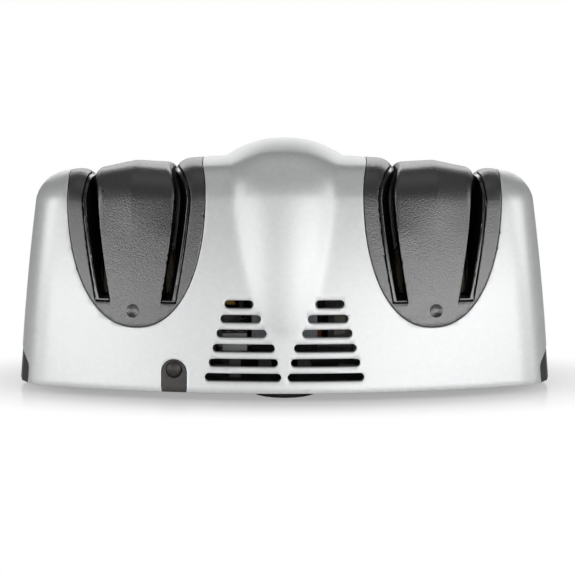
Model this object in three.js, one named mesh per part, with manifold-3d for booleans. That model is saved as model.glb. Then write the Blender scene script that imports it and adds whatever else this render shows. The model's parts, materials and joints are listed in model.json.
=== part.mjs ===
// Electric knife sharpener: a silver shell with a central dome, two guide saddles with two
// blade slots each, spring-loaded abrasive discs on one motor shaft, and a rocker switch.
// Millimetres, +Z up. The origin is on the table under the middle of the body. The face with
// the vents and the cord gland looks to -Y, and the face with the switch to +Y.
import * as THREE from "three";
import { mergeVertices } from "three/addons/utils/BufferGeometryUtils.js";
import Module from "manifold-3d";

const wasm = await Module();
wasm.setup();

// Driving dimensions
const bodyHalfWidth = 123.6;
const bodyHalfDepth = 50;
const bodyBottom = 3.4;
const topHeight = 106;
const wallThickness = 2.6;
const shaftHeight = 42;
const shaftRadius = 3;
const saddleSetback = 56.6;
const saddleHalfWidth = 31.4;
const slotWidth = 6;
const discRadius = 21;
const fit = 0.3;

// Shape of the body
const endTaper = 8.4;
const faceTaper = 12.4;
const faceBow = 22;
const topFaceBow = 16.5;
const endBow = 5.6;
const cornerSetback = 10;
const cornerDepthShare = 0.8;
const wallBelly = 0.8;
const shoulderRadius = 14;
const crownFall = 10.4;
const archFall = 13.2;

// Dome and its tongue
const domeRise = 8.2;
const domeHalfWidth = 27.3;
const domeToeHeight = 28;
const domeRoot = 5;
const domeSag = 1.1;
const domeSpreadShare = 0.38;
const domeSwellShare = 0.75;
const domeRoundnessShare = 2.3;

// Guide saddles
const saddleShoulderFall = 14;
const saddleDrop = 10;
const saddleFullnessShare = 2.2;
const saddleWall = 2.6;
const hollowSetback = 26;
const hollowRoof = 14;
const slotPlaceTop = 20.7;
const slotFootWall = 3.8;
const slotWidthBottom = 5.4;
const slotStraight = 9;
const slotBend = 18;
const slotFootRise = 2.3;
const slotNeck = 2.4;
const linerThickness = 1.4;
const linerFloor = 1.2;
const linerSink = 0.25;
const ridgeRise = 1.3;
const ridgeShift = 2;
const ridgeHalfWidth = 19.8;
const ridgeEnd = 74;
const ridgeSpreadShare = 0.08;
const ridgeSwellShare = 0.6;
const ridgeRoundnessShare = 1.2;
const dimpleRadius = 2.6;
const dimpleDepth = 2.3;
const dimpleRise = 7.6;

// Vents
const ventRows = 6;
const ventHeight = 3.6;
const ventPitch = 6.48;
const ventLowestRow = 10.5;
const ventSpan = 35.6;
const ventTopSpan = 26.8;
const ventInnerShares = [0.04, 0.081, 0.121, 0.222, 0.293, 0.388];

// Cord gland
const glandPlace = -49.5;
const glandHalfWidth = 5.5;
const glandHeight = 14.4;
const glandFlange = 1.6;
const glandFlangeThickness = 1.4;
const glandSink = 0.35;
const glandGap = 0.45;
const cordBoreRadius = 3.6;
const cordBoreHeight = 13.5;
const hoodRadius = 3.7;
const hoodLift = 1.3;
const hoodProud = 1.5;

// End grips
const gripHalfWidth = 24;
const gripHeight = 14.2;
const gripCornerWidth = 16;
const gripCornerHeight = 8;
const gripThickness = 1.6;
const gripReach = 16;

// Base plate
const plateRecess = 1.2;
const plateThickness = 3;
const pedestalSetback = 17.6;
const pedestalLength = 8;
const pedestalHalfWidth = 9;
const pedestalCrown = 9;
const screwSetback = 11.6;
const screwSpread = 14;
const screwShankRadius = 1.7;
const screwHeadRadius = 3.6;
const screwHeadHeight = 1.5;
const screwLength = 14;
const screwSocketDepth = 1.2;
const bossRadius = 4;
const bossHeight = 30;
const bossRib = 1.8;

// Feet
const rearFootRadius = 15.5;
const rearFootSetback = 6.6;
const frontFootRadius = 8;
const frontFootEndSetback = 25.6;
const frontFootSetback = 32;
const footSocket = 1;
const footRim = 1.1;

// Swarf covers
const swarfHalfWidth = 13;
const swarfHalfDepth = 11;
const coverHalfWidth = 15.5;
const coverHalfDepth = 15;
const coverThickness = 1.6;
const coverTravel = 18;
const coverRib = 0.9;
const coverRibWidth = 2;
const railWidth = 2;
const railLip = 1.5;
const railLipThickness = 0.9;

// Motor
const statorHalfLength = 15;
const statorHalfWidth = 24;
const statorHalfHeight = 26;
const statorCorner = 8;
const statorBore = 13.8;
const coilInner = 11.2;
const coilOuter = 19.2;
const coilBottom = 12.8;
const coilTop = 20.2;
const coilOverhang = 5.4;
const cradleWidth = 6;
const cradlePlace = 16;
const bracketPlace = 33;
const bracketThickness = 2;
const bracketHalfWidth = 14;
const bracketTop = 16;
const bracketCorner = 8;
const bracketFoot = 8;
const armatureRadius = 13;
const armatureHalfLength = 14;
const windingRadius = 10;
const windingLength = 5;
const commutatorRadius = 8;
const commutatorStart = 21.4;
const commutatorLength = 8.4;
const brushReach = 11;
const brushHalfHeight = 3;
const brushStart = 22.8;
const fanPlace = 26;
const fanRadius = 21;
const fanHubRadius = 6.4;
const fanWidth = 6;
const fanBlades = 7;
const fanBladeThickness = 1.1;
const fanPitch = THREE.MathUtils.degToRad(34);

// Shaft train
const shaftStub = 2;
const shaftChamfer = 0.8;
const bushOuterRadius = 6;
const bushFlangeRadius = 8;
const bushFlange = 1.2;
const innerBushLength = 4.8;
const discFacePlace = 16.4;
const discThickness = 3.6;
const discCone = 1.6;
const discHubRadius = 7;
const discHubLength = 5;
const discWindow = 2;
const ringRadius = 5.4;
const ringThickness = 1.1;
const springRadius = 4.9;
const springWire = 0.8;
const springTurns = 4;
const shaftNotch = 5.2;

// Switch
const switchHeight = 18.8;
const switchRecess = 1.6;
const switchHalfWidth = 11;
const switchHalfHeight = 6.4;
const switchDepth = 13;
const switchRim = 1.5;
const switchRimThickness = 1.3;
const rockerHalfWidth = 8.8;
const rockerHalfHeight = 4.6;
const rockerPocket = 5.6;
const rockerCrown = 2.5;
const rockerEdge = 1.3;
const rockerKeel = 3.4;
const rockerTilt = THREE.MathUtils.degToRad(8);
const tabHalfWidth = 2.4;
const tabThickness = 0.8;
const tabLength = 6;
const tabSpread = 6.6;

// Terminal block
const terminalPlace = -22.5;
const terminalHalfWidth = 5.5;
const terminalHalfDepth = 4.2;
const terminalGap = 6;
const terminalBottom = 20;
const terminalHeight = 8;
const terminalWire = 1.4;
const terminalPost = 2.6;

// How the round forms are divided
const faceSteps = 5;
const cornerSteps = 2;
const endSteps = 2;
const wallSteps = 2;
const shoulderSteps = 4;
const topShares = [0.6];
const domeSteps = 8;
const domeAcross = 6;
const ridgeSteps = 4;
const ridgeAcross = 2;
const dimpleSteps = 4;
const crowdingShare = 1.7;
const arcSteps = 2;
const outlineSteps = 14;
const slotSteps = 4;
const neckShares = [-1, -0.6, 0, 0.6, 1];
const turnSteps = 8;
const sidesHidden = 8;
const sidesSmall = 14;
const sidesLarge = 20;
const weld = 0.0005;
const overrun = 12;

const wallTopHalfWidth = bodyHalfWidth - endTaper;
const wallTopHalfDepth = bodyHalfDepth - faceTaper;
const plateBottom = bodyBottom + plateRecess;
const plateTop = plateBottom + plateThickness;
const saddlePlace = bodyHalfWidth - saddleSetback;
const ridgePlace = saddlePlace + ridgeShift;
const saddleShoulder = topHeight - saddleShoulderFall;
const saddleTip = shaftHeight - saddleDrop;
const hollowHalfDepth = bodyHalfDepth - hollowSetback;
const hollowTop = topHeight - hollowRoof;
const slotBendStart = topHeight - slotStraight;
const slotBendControl = slotBendStart - slotBend;
const slotBottom = shaftHeight + slotFootRise;
const slotPlaceBottom = saddleHalfWidthAt(slotBottom) - slotFootWall - slotWidthBottom / 2;
const dimpleHeight = saddleTip + dimpleRise;
const pedestalPlace = bodyHalfWidth - pedestalSetback;
const screwPlace = bodyHalfWidth - screwSetback;
const frontFootPlace = bodyHalfWidth - frontFootEndSetback;
const frontFootSpread = bodyHalfDepth - frontFootSetback;
const shaftHalfLength = pedestalPlace + pedestalLength / 2 + shaftStub;
const terminalSetback = coilOuter + terminalGap + terminalHalfDepth;
const lean = Math.atan((bodyHalfDepth - wallTopHalfDepth) / (topHeight - shoulderRadius - bodyBottom));
const sides = [
  ["left", -1],
  ["right", 1],
];

const silver = new THREE.MeshStandardMaterial({ color: 0xc9cbcc, roughness: 0.38, metalness: 0.55 });
const texturedBlack = new THREE.MeshStandardMaterial({ color: 0x2b2a29, roughness: 0.62, metalness: 0 });
const glossBlack = new THREE.MeshStandardMaterial({ color: 0x0e0e0e, roughness: 0.15, metalness: 0 });
const darkGrey = new THREE.MeshStandardMaterial({ color: 0x3b3836, roughness: 0.55, metalness: 0 });
const plateGrey = new THREE.MeshStandardMaterial({ color: 0x2f3032, roughness: 0.7, metalness: 0 });
const rubber = new THREE.MeshStandardMaterial({ color: 0x141414, roughness: 0.85, metalness: 0 });
const steel = new THREE.MeshStandardMaterial({ color: 0xb4b6b8, roughness: 0.35, metalness: 1 });
const laminations = new THREE.MeshStandardMaterial({ color: 0x6d6f72, roughness: 0.5, metalness: 1 });
const copper = new THREE.MeshStandardMaterial({ color: 0xb0643a, roughness: 0.4, metalness: 1 });
const bronze = new THREE.MeshStandardMaterial({ color: 0xa9854e, roughness: 0.45, metalness: 1 });
const abrasive = new THREE.MeshStandardMaterial({ color: 0x8e8a80, roughness: 0.9, metalness: 0.2 });
const nylonWhite = new THREE.MeshStandardMaterial({ color: 0xd9d8d2, roughness: 0.6, metalness: 0 });
const terminalGrey = new THREE.MeshStandardMaterial({ color: 0x8f9092, roughness: 0.6, metalness: 0 });

const group = new THREE.Group();

// A closed three.js geometry as a solid that can be joined and cut
function solid(geometry) {
  const bare = geometry.clone();
  bare.deleteAttribute("normal");
  bare.deleteAttribute("uv");
  const merged = mergeVertices(bare, weld);
  const vertProperties = merged.attributes.position.array;
  const triVerts = new Uint32Array(merged.index.array);
  return new wasm.Manifold(new wasm.Mesh({ numProp: 3, vertProperties, triVerts }));
}

function geometryOf(made) {
  const mesh = made.getMesh();
  const geometry = new THREE.BufferGeometry();
  geometry.setAttribute("position", new THREE.BufferAttribute(mesh.vertProperties, 3));
  geometry.setIndex(new THREE.BufferAttribute(mesh.triVerts, 1));
  geometry.computeVertexNormals();
  return geometry;
}

function piece(name, made, material, parent = group) {
  const mesh = new THREE.Mesh(geometryOf(made), material.clone());
  mesh.name = name;
  parent.add(mesh);
  return mesh;
}

function joined(solids) {
  return solids.reduce((whole, next) => whole.add(next));
}

function extruded(shape, depth) {
  return new THREE.ExtrudeGeometry(shape, { depth, bevelEnabled: false, curveSegments: arcSteps });
}

// A shape drawn in X and Y, run along Z
function alongZ(shape, from, to) {
  return solid(extruded(shape, to - from).translate(0, 0, from));
}

// A shape drawn in X and Z, run along Y
function alongY(shape, from, to) {
  return solid(extruded(shape, to - from).rotateX(Math.PI / 2).translate(0, to, 0));
}

// A shape drawn in Y and Z, run along X
function alongX(shape, from, to) {
  const turn = new THREE.Matrix4().makeBasis(
    new THREE.Vector3(0, 1, 0),
    new THREE.Vector3(0, 0, 1),
    new THREE.Vector3(1, 0, 0),
  );
  return solid(extruded(shape, to - from).applyMatrix4(turn).translate(from, 0, 0));
}

function block(x0, x1, y0, y1, z0, z1) {
  const geometry = new THREE.BoxGeometry(x1 - x0, y1 - y0, z1 - z0);
  return solid(geometry.translate((x0 + x1) / 2, (y0 + y1) / 2, (z0 + z1) / 2));
}

// A profile of [radius, place along the axis] points turned about the shaft's line
function turned(profile, count = sidesSmall) {
  const points = profile.map(([radius, place]) => new THREE.Vector2(radius, place));
  const geometry = new THREE.LatheGeometry(points, count);
  return solid(geometry.rotateZ(-Math.PI / 2).translate(0, 0, shaftHeight));
}

function rod(radius, from, to, count = sidesSmall) {
  return turned([[0, from], [radius, from], [radius, to], [0, to]], count);
}

// The same about an upright line
function upright(profile, x, y, count = sidesSmall) {
  const points = profile.map(([radius, place]) => new THREE.Vector2(radius, place));
  const geometry = new THREE.LatheGeometry(points, count);
  return solid(geometry.rotateX(Math.PI / 2).translate(x, y, 0));
}

function post(radius, x, y, from, to, count = sidesSmall) {
  return upright([[0, from], [radius, from], [radius, to], [0, to]], x, y, count);
}

function roundedRectangle(x0, x1, y0, y1, corner) {
  const shape = new THREE.Shape();
  shape.moveTo(x0 + corner, y0);
  shape.lineTo(x1 - corner, y0);
  shape.absarc(x1 - corner, y0 + corner, corner, -Math.PI / 2, 0, false);
  shape.lineTo(x1, y1 - corner);
  shape.absarc(x1 - corner, y1 - corner, corner, 0, Math.PI / 2, false);
  shape.lineTo(x0 + corner, y1);
  shape.absarc(x0 + corner, y1 - corner, corner, Math.PI / 2, Math.PI, false);
  shape.lineTo(x0, y0 + corner);
  shape.absarc(x0 + corner, y0 + corner, corner, Math.PI, Math.PI * 1.5, false);
  return shape;
}

// A doorway outline: straight jambs with a round head
function archway(centre, halfWidth, bottom, top) {
  const shape = new THREE.Shape();
  shape.moveTo(centre - halfWidth, bottom);
  shape.lineTo(centre + halfWidth, bottom);
  shape.absarc(centre, top - halfWidth, halfWidth, 0, Math.PI, false);
  return shape;
}

// Rings of equal count, joined in order and closed at each end by a fan round a point
function loft(rings, first, last) {
  const around = rings[0].length;
  const points = [...rings.flat(), first, last];
  const start = rings.length * around;
  const index = [];
  rings.slice(1).forEach((ring, level) => {
    for (let i = 0; i < around; i += 1) {
      const next = (i + 1) % around;
      const below = level * around;
      const above = below + around;
      index.push(below + i, below + next, above + next);
      index.push(below + i, above + next, above + i);
    }
  });
  const end = start - around;
  for (let i = 0; i < around; i += 1) {
    const next = (i + 1) % around;
    index.push(start, next, i);
    index.push(start + 1, end + i, end + next);
  }
  const geometry = new THREE.BufferGeometry().setFromPoints(points);
  geometry.setIndex(index);
  return solid(geometry);
}

// Plan of the body at one level: bowed faces, bowed ends and soft corners, run anticlockwise
// from the middle of the face at -Y
function planRing(halfWidth, halfDepth, bow, corner) {
  const edgeX = halfWidth - endBow;
  const edgeY = halfDepth - bow;
  const soft = Math.min(corner, edgeY * cornerDepthShare);
  const faceY = (x) => -halfDepth + bow * (x / edgeX) ** 2;
  const endX = (y) => halfWidth - endBow * (y / edgeY) ** 2;
  const quarter = [];
  for (let i = 0; i <= faceSteps; i += 1) {
    const x = ((edgeX - soft) * i) / faceSteps;
    quarter.push([x, faceY(x)]);
  }
  const from = new THREE.Vector2(edgeX - soft, faceY(edgeX - soft));
  const to = new THREE.Vector2(endX(edgeY - soft), soft - edgeY);
  const bend = new THREE.QuadraticBezierCurve(from, new THREE.Vector2(edgeX, -edgeY), to);
  for (let i = 1; i <= cornerSteps; i += 1) {
    const point = bend.getPoint(i / cornerSteps);
    quarter.push([point.x, point.y]);
  }
  for (let i = 1; i <= endSteps; i += 1) {
    const y = (soft - edgeY) * (1 - i / endSteps);
    quarter.push([endX(y), y]);
  }
  const back = quarter.slice(0, -1).reverse();
  return [
    ...quarter,
    ...back.map(([x, y]) => [x, -y]),
    ...quarter.slice(1).map(([x, y]) => [-x, -y]),
    ...back.slice(0, -1).map(([x, y]) => [-x, y]),
  ];
}

function topAt(x, y) {
  return topHeight - crownFall * (x / bodyHalfWidth) ** 2 - archFall * (y / bodyHalfDepth) ** 2;
}

// How far the wall bulges between its bottom edge and its shoulder
function bellyAt(share) {
  return wallBelly * 4 * share * (1 - share);
}

// Rings of the body's surface moved inwards by an inset, from the bottom edge to the crown
function bodyRings(inset) {
  const radius = shoulderRadius - inset;
  const rise = radius * (1 - Math.sin(lean));
  const rings = [];
  for (let i = 0; i <= wallSteps; i += 1) {
    const share = i / wallSteps;
    const belly = bellyAt(share);
    const halfWidth = THREE.MathUtils.lerp(bodyHalfWidth, wallTopHalfWidth, share) + belly - inset;
    const halfDepth = THREE.MathUtils.lerp(bodyHalfDepth, wallTopHalfDepth, share) + belly - inset;
    const bow = THREE.MathUtils.lerp(faceBow, topFaceBow, share);
    const ring = planRing(halfWidth, halfDepth, bow, cornerSetback);
    rings.push(ring.map(([x, y]) => {
      const wallTop = topAt(x, y) - inset - rise;
      return new THREE.Vector3(x, y, THREE.MathUtils.lerp(bodyBottom, wallTop, share));
    }));
  }
  let shoulder = [];
  for (let i = 1; i <= shoulderSteps; i += 1) {
    const angle = THREE.MathUtils.lerp(lean, Math.PI / 2, i / shoulderSteps);
    const reach = inset + radius * (Math.cos(lean) - Math.cos(angle));
    const halfWidth = wallTopHalfWidth - reach;
    shoulder = planRing(halfWidth, wallTopHalfDepth - reach, topFaceBow, cornerSetback);
    rings.push(shoulder.map(([x, y]) => {
      return new THREE.Vector3(x, y, topAt(x, y) - inset - radius * (1 - Math.sin(angle)));
    }));
  }
  topShares.forEach((share) => {
    rings.push(shoulder.map(([x, y]) => {
      return new THREE.Vector3(x * share, y * share, topAt(x * share, y * share) - inset);
    }));
  });
  return rings;
}

// The body moved inwards by an inset, and run straight on below its bottom edge if asked
function bodySolid(inset, below = 0) {
  const rings = bodyRings(inset);
  if (below > 0) {
    rings.unshift(rings[0].map(({ x, y, z }) => new THREE.Vector3(x, y, z - below)));
  }
  const first = new THREE.Vector3(0, 0, bodyBottom - below);
  const last = new THREE.Vector3(0, 0, topHeight - inset);
  return loft(rings, first, last);
}

// The body's section at one place along X, from a height on the face at -Y over to the other face
function profileOver(place, from) {
  const half = [];
  bodyRings(0).forEach((ring) => {
    const row = ring.slice(0, faceSteps + cornerSteps);
    const i = row.findIndex((point, k) => k > 0 && point.x >= place);
    if (i > 0) {
      const share = (place - row[i - 1].x) / (row[i].x - row[i - 1].x);
      half.push(row[i - 1].clone().lerp(row[i], share));
    }
  });
  const upper = half.filter((point) => point.z > from);
  const below = half[half.length - upper.length - 1];
  const start = below.clone().lerp(upper[0], (from - below.z) / (upper[0].z - below.z));
  const rear = [start, ...upper];
  const crest = new THREE.Vector3(place, 0, topAt(place, 0));
  const front = rear.map((point) => new THREE.Vector3(point.x, -point.y, point.z)).reverse();
  return new THREE.CatmullRomCurve3([...rear, crest, ...front]);
}

// A swelling that runs over the body from face to face: widest and highest at the crest,
// fading to a point at each toe, with a crease along both edges
function swelling(form) {
  const { place, toe, halfWidth, rise, spread, swell, roundness, sag, inset, steps, points } = form;
  const path = profileOver(place, toe);
  const rings = [];
  const stations = [];
  for (let i = 1; i < steps; i += 1) {
    stations.push((i / steps) ** crowdingShare);
  }
  const shares = [...stations, 1, ...[...stations].reverse()];
  shares.forEach((share, i) => {
    const along = i < steps ? share / 2 : 1 - share / 2;
    const centre = path.getPointAt(along);
    const tangent = path.getTangentAt(along);
    const out = new THREE.Vector3(0, -tangent.z, tangent.y).normalize();
    const width = halfWidth * share ** spread;
    const height = rise * share ** swell;
    const ring = [];
    for (let k = 0; k <= points; k += 1) {
      const offset = (2 * k) / points - 1;
      const fall = sag * ((offset * width) / halfWidth) ** 2;
      const lift = height * (1 - Math.abs(offset) ** roundness) - fall - inset;
      const point = centre.clone().addScaledVector(out, lift);
      ring.push(point.add(new THREE.Vector3(offset * width, 0, 0)));
    }
    [1, -1].forEach((side) => {
      const deep = centre.clone().addScaledVector(out, -domeRoot - inset);
      ring.push(deep.add(new THREE.Vector3(side * width, 0, 0)));
    });
    rings.push(ring);
  });
  const ends = [0, 1].map((at) => {
    const tangent = path.getTangentAt(at);
    const out = new THREE.Vector3(0, -tangent.z, tangent.y).normalize();
    return path.getPointAt(at).addScaledVector(out, -inset - fit);
  });
  return loft(rings, ends[0], ends[1]);
}

function dome(inset) {
  return swelling({
    place: 0,
    toe: domeToeHeight,
    halfWidth: domeHalfWidth,
    rise: domeRise,
    spread: domeSpreadShare,
    swell: domeSwellShare,
    roundness: domeRoundnessShare,
    sag: domeSag,
    inset,
    steps: domeSteps,
    points: domeAcross,
  });
}

// Half the width of a guide saddle's outline at a height below its shoulder
function saddleHalfWidthAt(height) {
  const down = (saddleShoulder - height) / (saddleShoulder - saddleTip);
  return saddleHalfWidth * (1 - down ** saddleFullnessShare) ** (1 / saddleFullnessShare);
}

// Outline of a guide saddle from the front: a full, slightly squared half ellipse below and
// straight sides above
function saddleOutline(centre, grow) {
  const halfWidth = saddleHalfWidth + grow;
  const drop = saddleShoulder - saddleTip + grow;
  const shape = new THREE.Shape();
  shape.moveTo(centre - halfWidth, topHeight + overrun);
  for (let i = 0; i <= outlineSteps; i += 1) {
    const angle = (Math.PI * i) / outlineSteps;
    const x = Math.abs(Math.cos(angle)) ** (2 / saddleFullnessShare) * Math.sign(Math.cos(angle));
    const z = Math.sin(angle) ** (2 / saddleFullnessShare);
    shape.lineTo(centre - halfWidth * x, saddleShoulder - drop * z);
  }
  shape.lineTo(centre + halfWidth, topHeight + overrun);
  return shape;
}

// Height at which the middle of a face turns into the shoulder
function profileWallTop() {
  return topAt(0, wallTopHalfDepth) - shoulderRadius * (1 - Math.sin(lean));
}

// Depth of the body's face at a place along X and a height
function faceDepthAt(x, height) {
  const share = Math.min((height - bodyBottom) / (profileWallTop() - bodyBottom), 1);
  const depth = THREE.MathUtils.lerp(bodyHalfDepth, wallTopHalfDepth, share) + bellyAt(share);
  const edge = THREE.MathUtils.lerp(bodyHalfWidth, wallTopHalfWidth, share) - endBow;
  return depth - THREE.MathUtils.lerp(faceBow, topFaceBow, share) * (x / edge) ** 2;
}

// The room of a blade slot, from its foot to above the crown. It leans in towards its foot,
// its wall on the side of the block is flat, and its other wall swells in between the two
// mouths to a narrow neck. The two gaps widen it towards the block and away from it.
function slotRoom(centre, side, inward, outward, bottom) {
  const levels = [[0, topHeight + overrun]];
  for (let i = 0; i <= slotSteps; i += 1) {
    const t = i / slotSteps;
    const upper = (1 - t) ** 2 * slotBendStart + 2 * t * (1 - t) * slotBendControl;
    levels.push([t ** 2, upper + t ** 2 * bottom]);
  }
  const rings = levels.reverse().map(([share, height]) => {
    const place = THREE.MathUtils.lerp(slotPlaceTop, slotPlaceBottom, share);
    const half = THREE.MathUtils.lerp(slotWidth, slotWidthBottom, share) / 2;
    const near = place - half - inward;
    const far = place + half + outward;
    const mouth = faceDepthAt(centre + side * far, height);
    const waist = neckShares.map((along) => {
      return [far - (2 * half - slotNeck) * (1 - along ** 2), along * mouth];
    });
    const ring = [[near, -across], [far, -across], ...waist, [far, across], [near, across]];
    return ring.map(([x, y]) => new THREE.Vector3(x, y, height));
  });
  const middle = slotNeck / 2;
  const foot = new THREE.Vector3(slotPlaceBottom - slotWidthBottom / 2 + middle, 0, bottom);
  const top = new THREE.Vector3(slotPlaceTop - slotWidth / 2 + middle, 0, topHeight + overrun);
  const room = loft(rings, foot, top);
  return (side > 0 ? room : room.mirror([1, 0, 0])).translate([centre, 0, 0]);
}

// The hollow of the block between the two slots of a saddle, open below
function blockHollow(centre) {
  const top = slotPlaceTop - slotWidth / 2 - saddleWall;
  const foot = slotPlaceBottom - slotWidthBottom / 2 - saddleWall;
  const shape = new THREE.Shape();
  shape.moveTo(centre - top, hollowTop);
  shape.lineTo(centre - top, slotBendControl);
  shape.lineTo(centre - foot, slotBottom);
  shape.lineTo(centre - foot, bodyBottom);
  shape.lineTo(centre + foot, bodyBottom);
  shape.lineTo(centre + foot, slotBottom);
  shape.lineTo(centre + top, slotBendControl);
  shape.lineTo(centre + top, hollowTop);
  return shape;
}

const across = bodyHalfDepth + overrun;
const outer = bodySolid(0);
const inner = bodySolid(wallThickness, overrun);
const underside = bodySolid(wallThickness + fit, overrun);

// Upper housing
function ventRow(row) {
  const height = ventLowestRow + row * ventPitch;
  const near = ventInnerShares[row] * ventSpan;
  const far = THREE.MathUtils.lerp(ventSpan, ventTopSpan, row / (ventRows - 1));
  return [-1, 1].map((side) => {
    const ends = [side * near, side * far].sort((a, b) => a - b);
    const half = ventHeight / 2;
    const shape = roundedRectangle(ends[0], ends[1], height - half, height + half, half);
    return alongY(shape, -across, -statorHalfWidth);
  });
}

function gripOutline(grow) {
  const top = bodyBottom + gripHeight + grow;
  const half = gripHalfWidth + grow;
  const wide = gripCornerWidth;
  const tall = gripCornerHeight;
  const shape = new THREE.Shape();
  shape.moveTo(-half, bodyBottom - overrun);
  shape.lineTo(half, bodyBottom - overrun);
  shape.lineTo(half, top - tall);
  shape.absellipse(half - wide, top - tall, wide, tall, 0, Math.PI / 2, false);
  shape.lineTo(wide - half, top);
  shape.absellipse(wide - half, top - tall, wide, tall, Math.PI / 2, Math.PI, false);
  return shape;
}

function gripBlank(side, grow) {
  const inside = bodyHalfWidth - gripReach;
  const ends = [side * inside, side * (bodyHalfWidth + overrun)].sort((a, b) => a - b);
  return alongX(gripOutline(grow), ends[0], ends[1]);
}

function screwBoss(side, face) {
  const x = side * screwPlace;
  const y = face * screwSpread;
  const from = plateTop + fit;
  const column = post(bossRadius, x, y, from, bossHeight, sidesHidden);
  const reach = [x, side * bodyHalfWidth].sort((a, b) => a - b);
  const rib = block(reach[0], reach[1], y - bossRib / 2, y + bossRib / 2, from, bossHeight);
  return column.add(rib).intersect(bodySolid(wallThickness / 2));
}

function screwPilot(side, face) {
  const end = plateTop + screwLength + fit;
  const radius = screwShankRadius + fit + fit;
  return post(radius, side * screwPlace, face * screwSpread, plateBottom, end, sidesHidden);
}

function glandShape(grow) {
  const top = bodyBottom + glandHeight + grow;
  return archway(glandPlace, glandHalfWidth + grow, bodyBottom - overrun, top);
}

function upperHousing() {
  const openings = [];
  sides.forEach(([, side]) => {
    openings.push(alongY(saddleOutline(side * saddlePlace, fit), -across, across));
    openings.push(gripBlank(side, fit).subtract(bodySolid(gripThickness, overrun)));
  });
  for (let row = 0; row < ventRows; row += 1) {
    openings.push(...ventRow(row));
  }
  openings.push(alongY(glandShape(glandGap), -across, -bodyHalfDepth / 2));
  openings.push(switchCut());
  const shell = outer.add(dome(0)).subtract(inner.add(dome(wallThickness))).add(switchSeat());
  const places = sides.flatMap(([, side]) => [[side, -1], [side, 1]]);
  const bosses = places.map(([side, face]) => screwBoss(side, face));
  const pilots = places.map(([side, face]) => screwPilot(side, face));
  return joined([shell.subtract(joined(openings)), ...bosses]).subtract(joined(pilots));
}

// Where the switch sits: in a shallow recess in the middle of the face at +Y, square to its slope
function switchFrame() {
  const out = new THREE.Vector3(0, Math.cos(lean), Math.sin(lean));
  const face = new THREE.Vector3(0, faceDepthAt(0, switchHeight), switchHeight);
  return new THREE.Matrix4()
    .makeRotationX(lean)
    .setPosition(face.addScaledVector(out, -switchRecess));
}

function onSwitch(halfWidth, halfHeight, from, to) {
  const made = block(-halfWidth, halfWidth, from, to, -halfHeight, halfHeight);
  return solid(geometryOf(made).applyMatrix4(switchFrame()));
}

function switchCut() {
  const hole = onSwitch(switchHalfWidth + fit, switchHalfHeight + fit, -switchDepth, overrun);
  const rim = switchRim + fit;
  return hole.add(onSwitch(switchHalfWidth + rim, switchHalfHeight + rim, 0, overrun));
}

// The wall steps in behind the switch's recess and keeps its thickness
function switchSeat() {
  const rim = switchRim + wallThickness;
  const seat = onSwitch(switchHalfWidth + rim, switchHalfHeight + rim, -wallThickness, overrun);
  return seat.intersect(bodySolid(wallThickness / 2));
}

piece("upper_housing", upperHousing(), silver);

// Guide saddles and their liners
function discPocket(centre) {
  const reach = discFacePlace + ringThickness + discWindow;
  return rod(discRadius + discWindow, centre - reach, centre + reach, sidesLarge);
}

function shaftPassage(centre) {
  const shape = archway(0, shaftNotch, bodyBottom - overrun, shaftHeight + shaftNotch);
  return alongX(shape, centre - saddleHalfWidth - overrun, centre + saddleHalfWidth + overrun);
}

function guideSaddle(side) {
  const centre = side * saddlePlace;
  const ridge = swelling({
    place: ridgePlace,
    toe: ridgeEnd,
    halfWidth: ridgeHalfWidth,
    rise: ridgeRise,
    spread: ridgeSpreadShare,
    swell: ridgeSwellShare,
    roundness: ridgeRoundnessShare,
    sag: domeSag,
    inset: 0,
    steps: ridgeSteps,
    points: ridgeAcross,
  });
  const crown = outer.add(side > 0 ? ridge : ridge.mirror([1, 0, 0]));
  const hollow = alongY(blockHollow(centre), -hollowHalfDepth, hollowHalfDepth);
  const slots = [-1, 1].map((edge) => {
    return slotRoom(centre, edge, 0, linerThickness + fit, slotBottom - linerFloor - fit);
  });
  const ball = new THREE.SphereGeometry(dimpleRadius, sidesHidden, dimpleSteps);
  const dimple = solid(ball.scale(1, dimpleDepth / dimpleRadius, 1));
  const dimpleFace = faceDepthAt(ridgePlace, dimpleHeight);
  const dimples = [-1, 1].map((face) => {
    return dimple.translate([side * ridgePlace, face * dimpleFace, dimpleHeight]);
  });
  return crown
    .intersect(alongY(saddleOutline(centre, 0), -across, across))
    .subtract(joined(slots))
    .subtract(joined([hollow, discPocket(centre), shaftPassage(centre), ...dimples]));
}

function slotLiner(side, edge) {
  const centre = side * saddlePlace;
  return slotRoom(centre, edge, -fit, linerThickness, slotBottom - linerFloor)
    .subtract(slotRoom(centre, edge, 0, 0, slotBottom))
    .intersect(bodySolid(linerSink))
    .subtract(joined([discPocket(centre), shaftPassage(centre)]));
}

sides.forEach(([name, side]) => {
  piece(`guide_saddle_${name}`, guideSaddle(side), texturedBlack);
  [["inner", -side], ["outer", side]].forEach(([where, edge]) => {
    piece(`slot_liner_${name}_${where}`, slotLiner(side, edge), glossBlack);
  });
});

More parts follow.
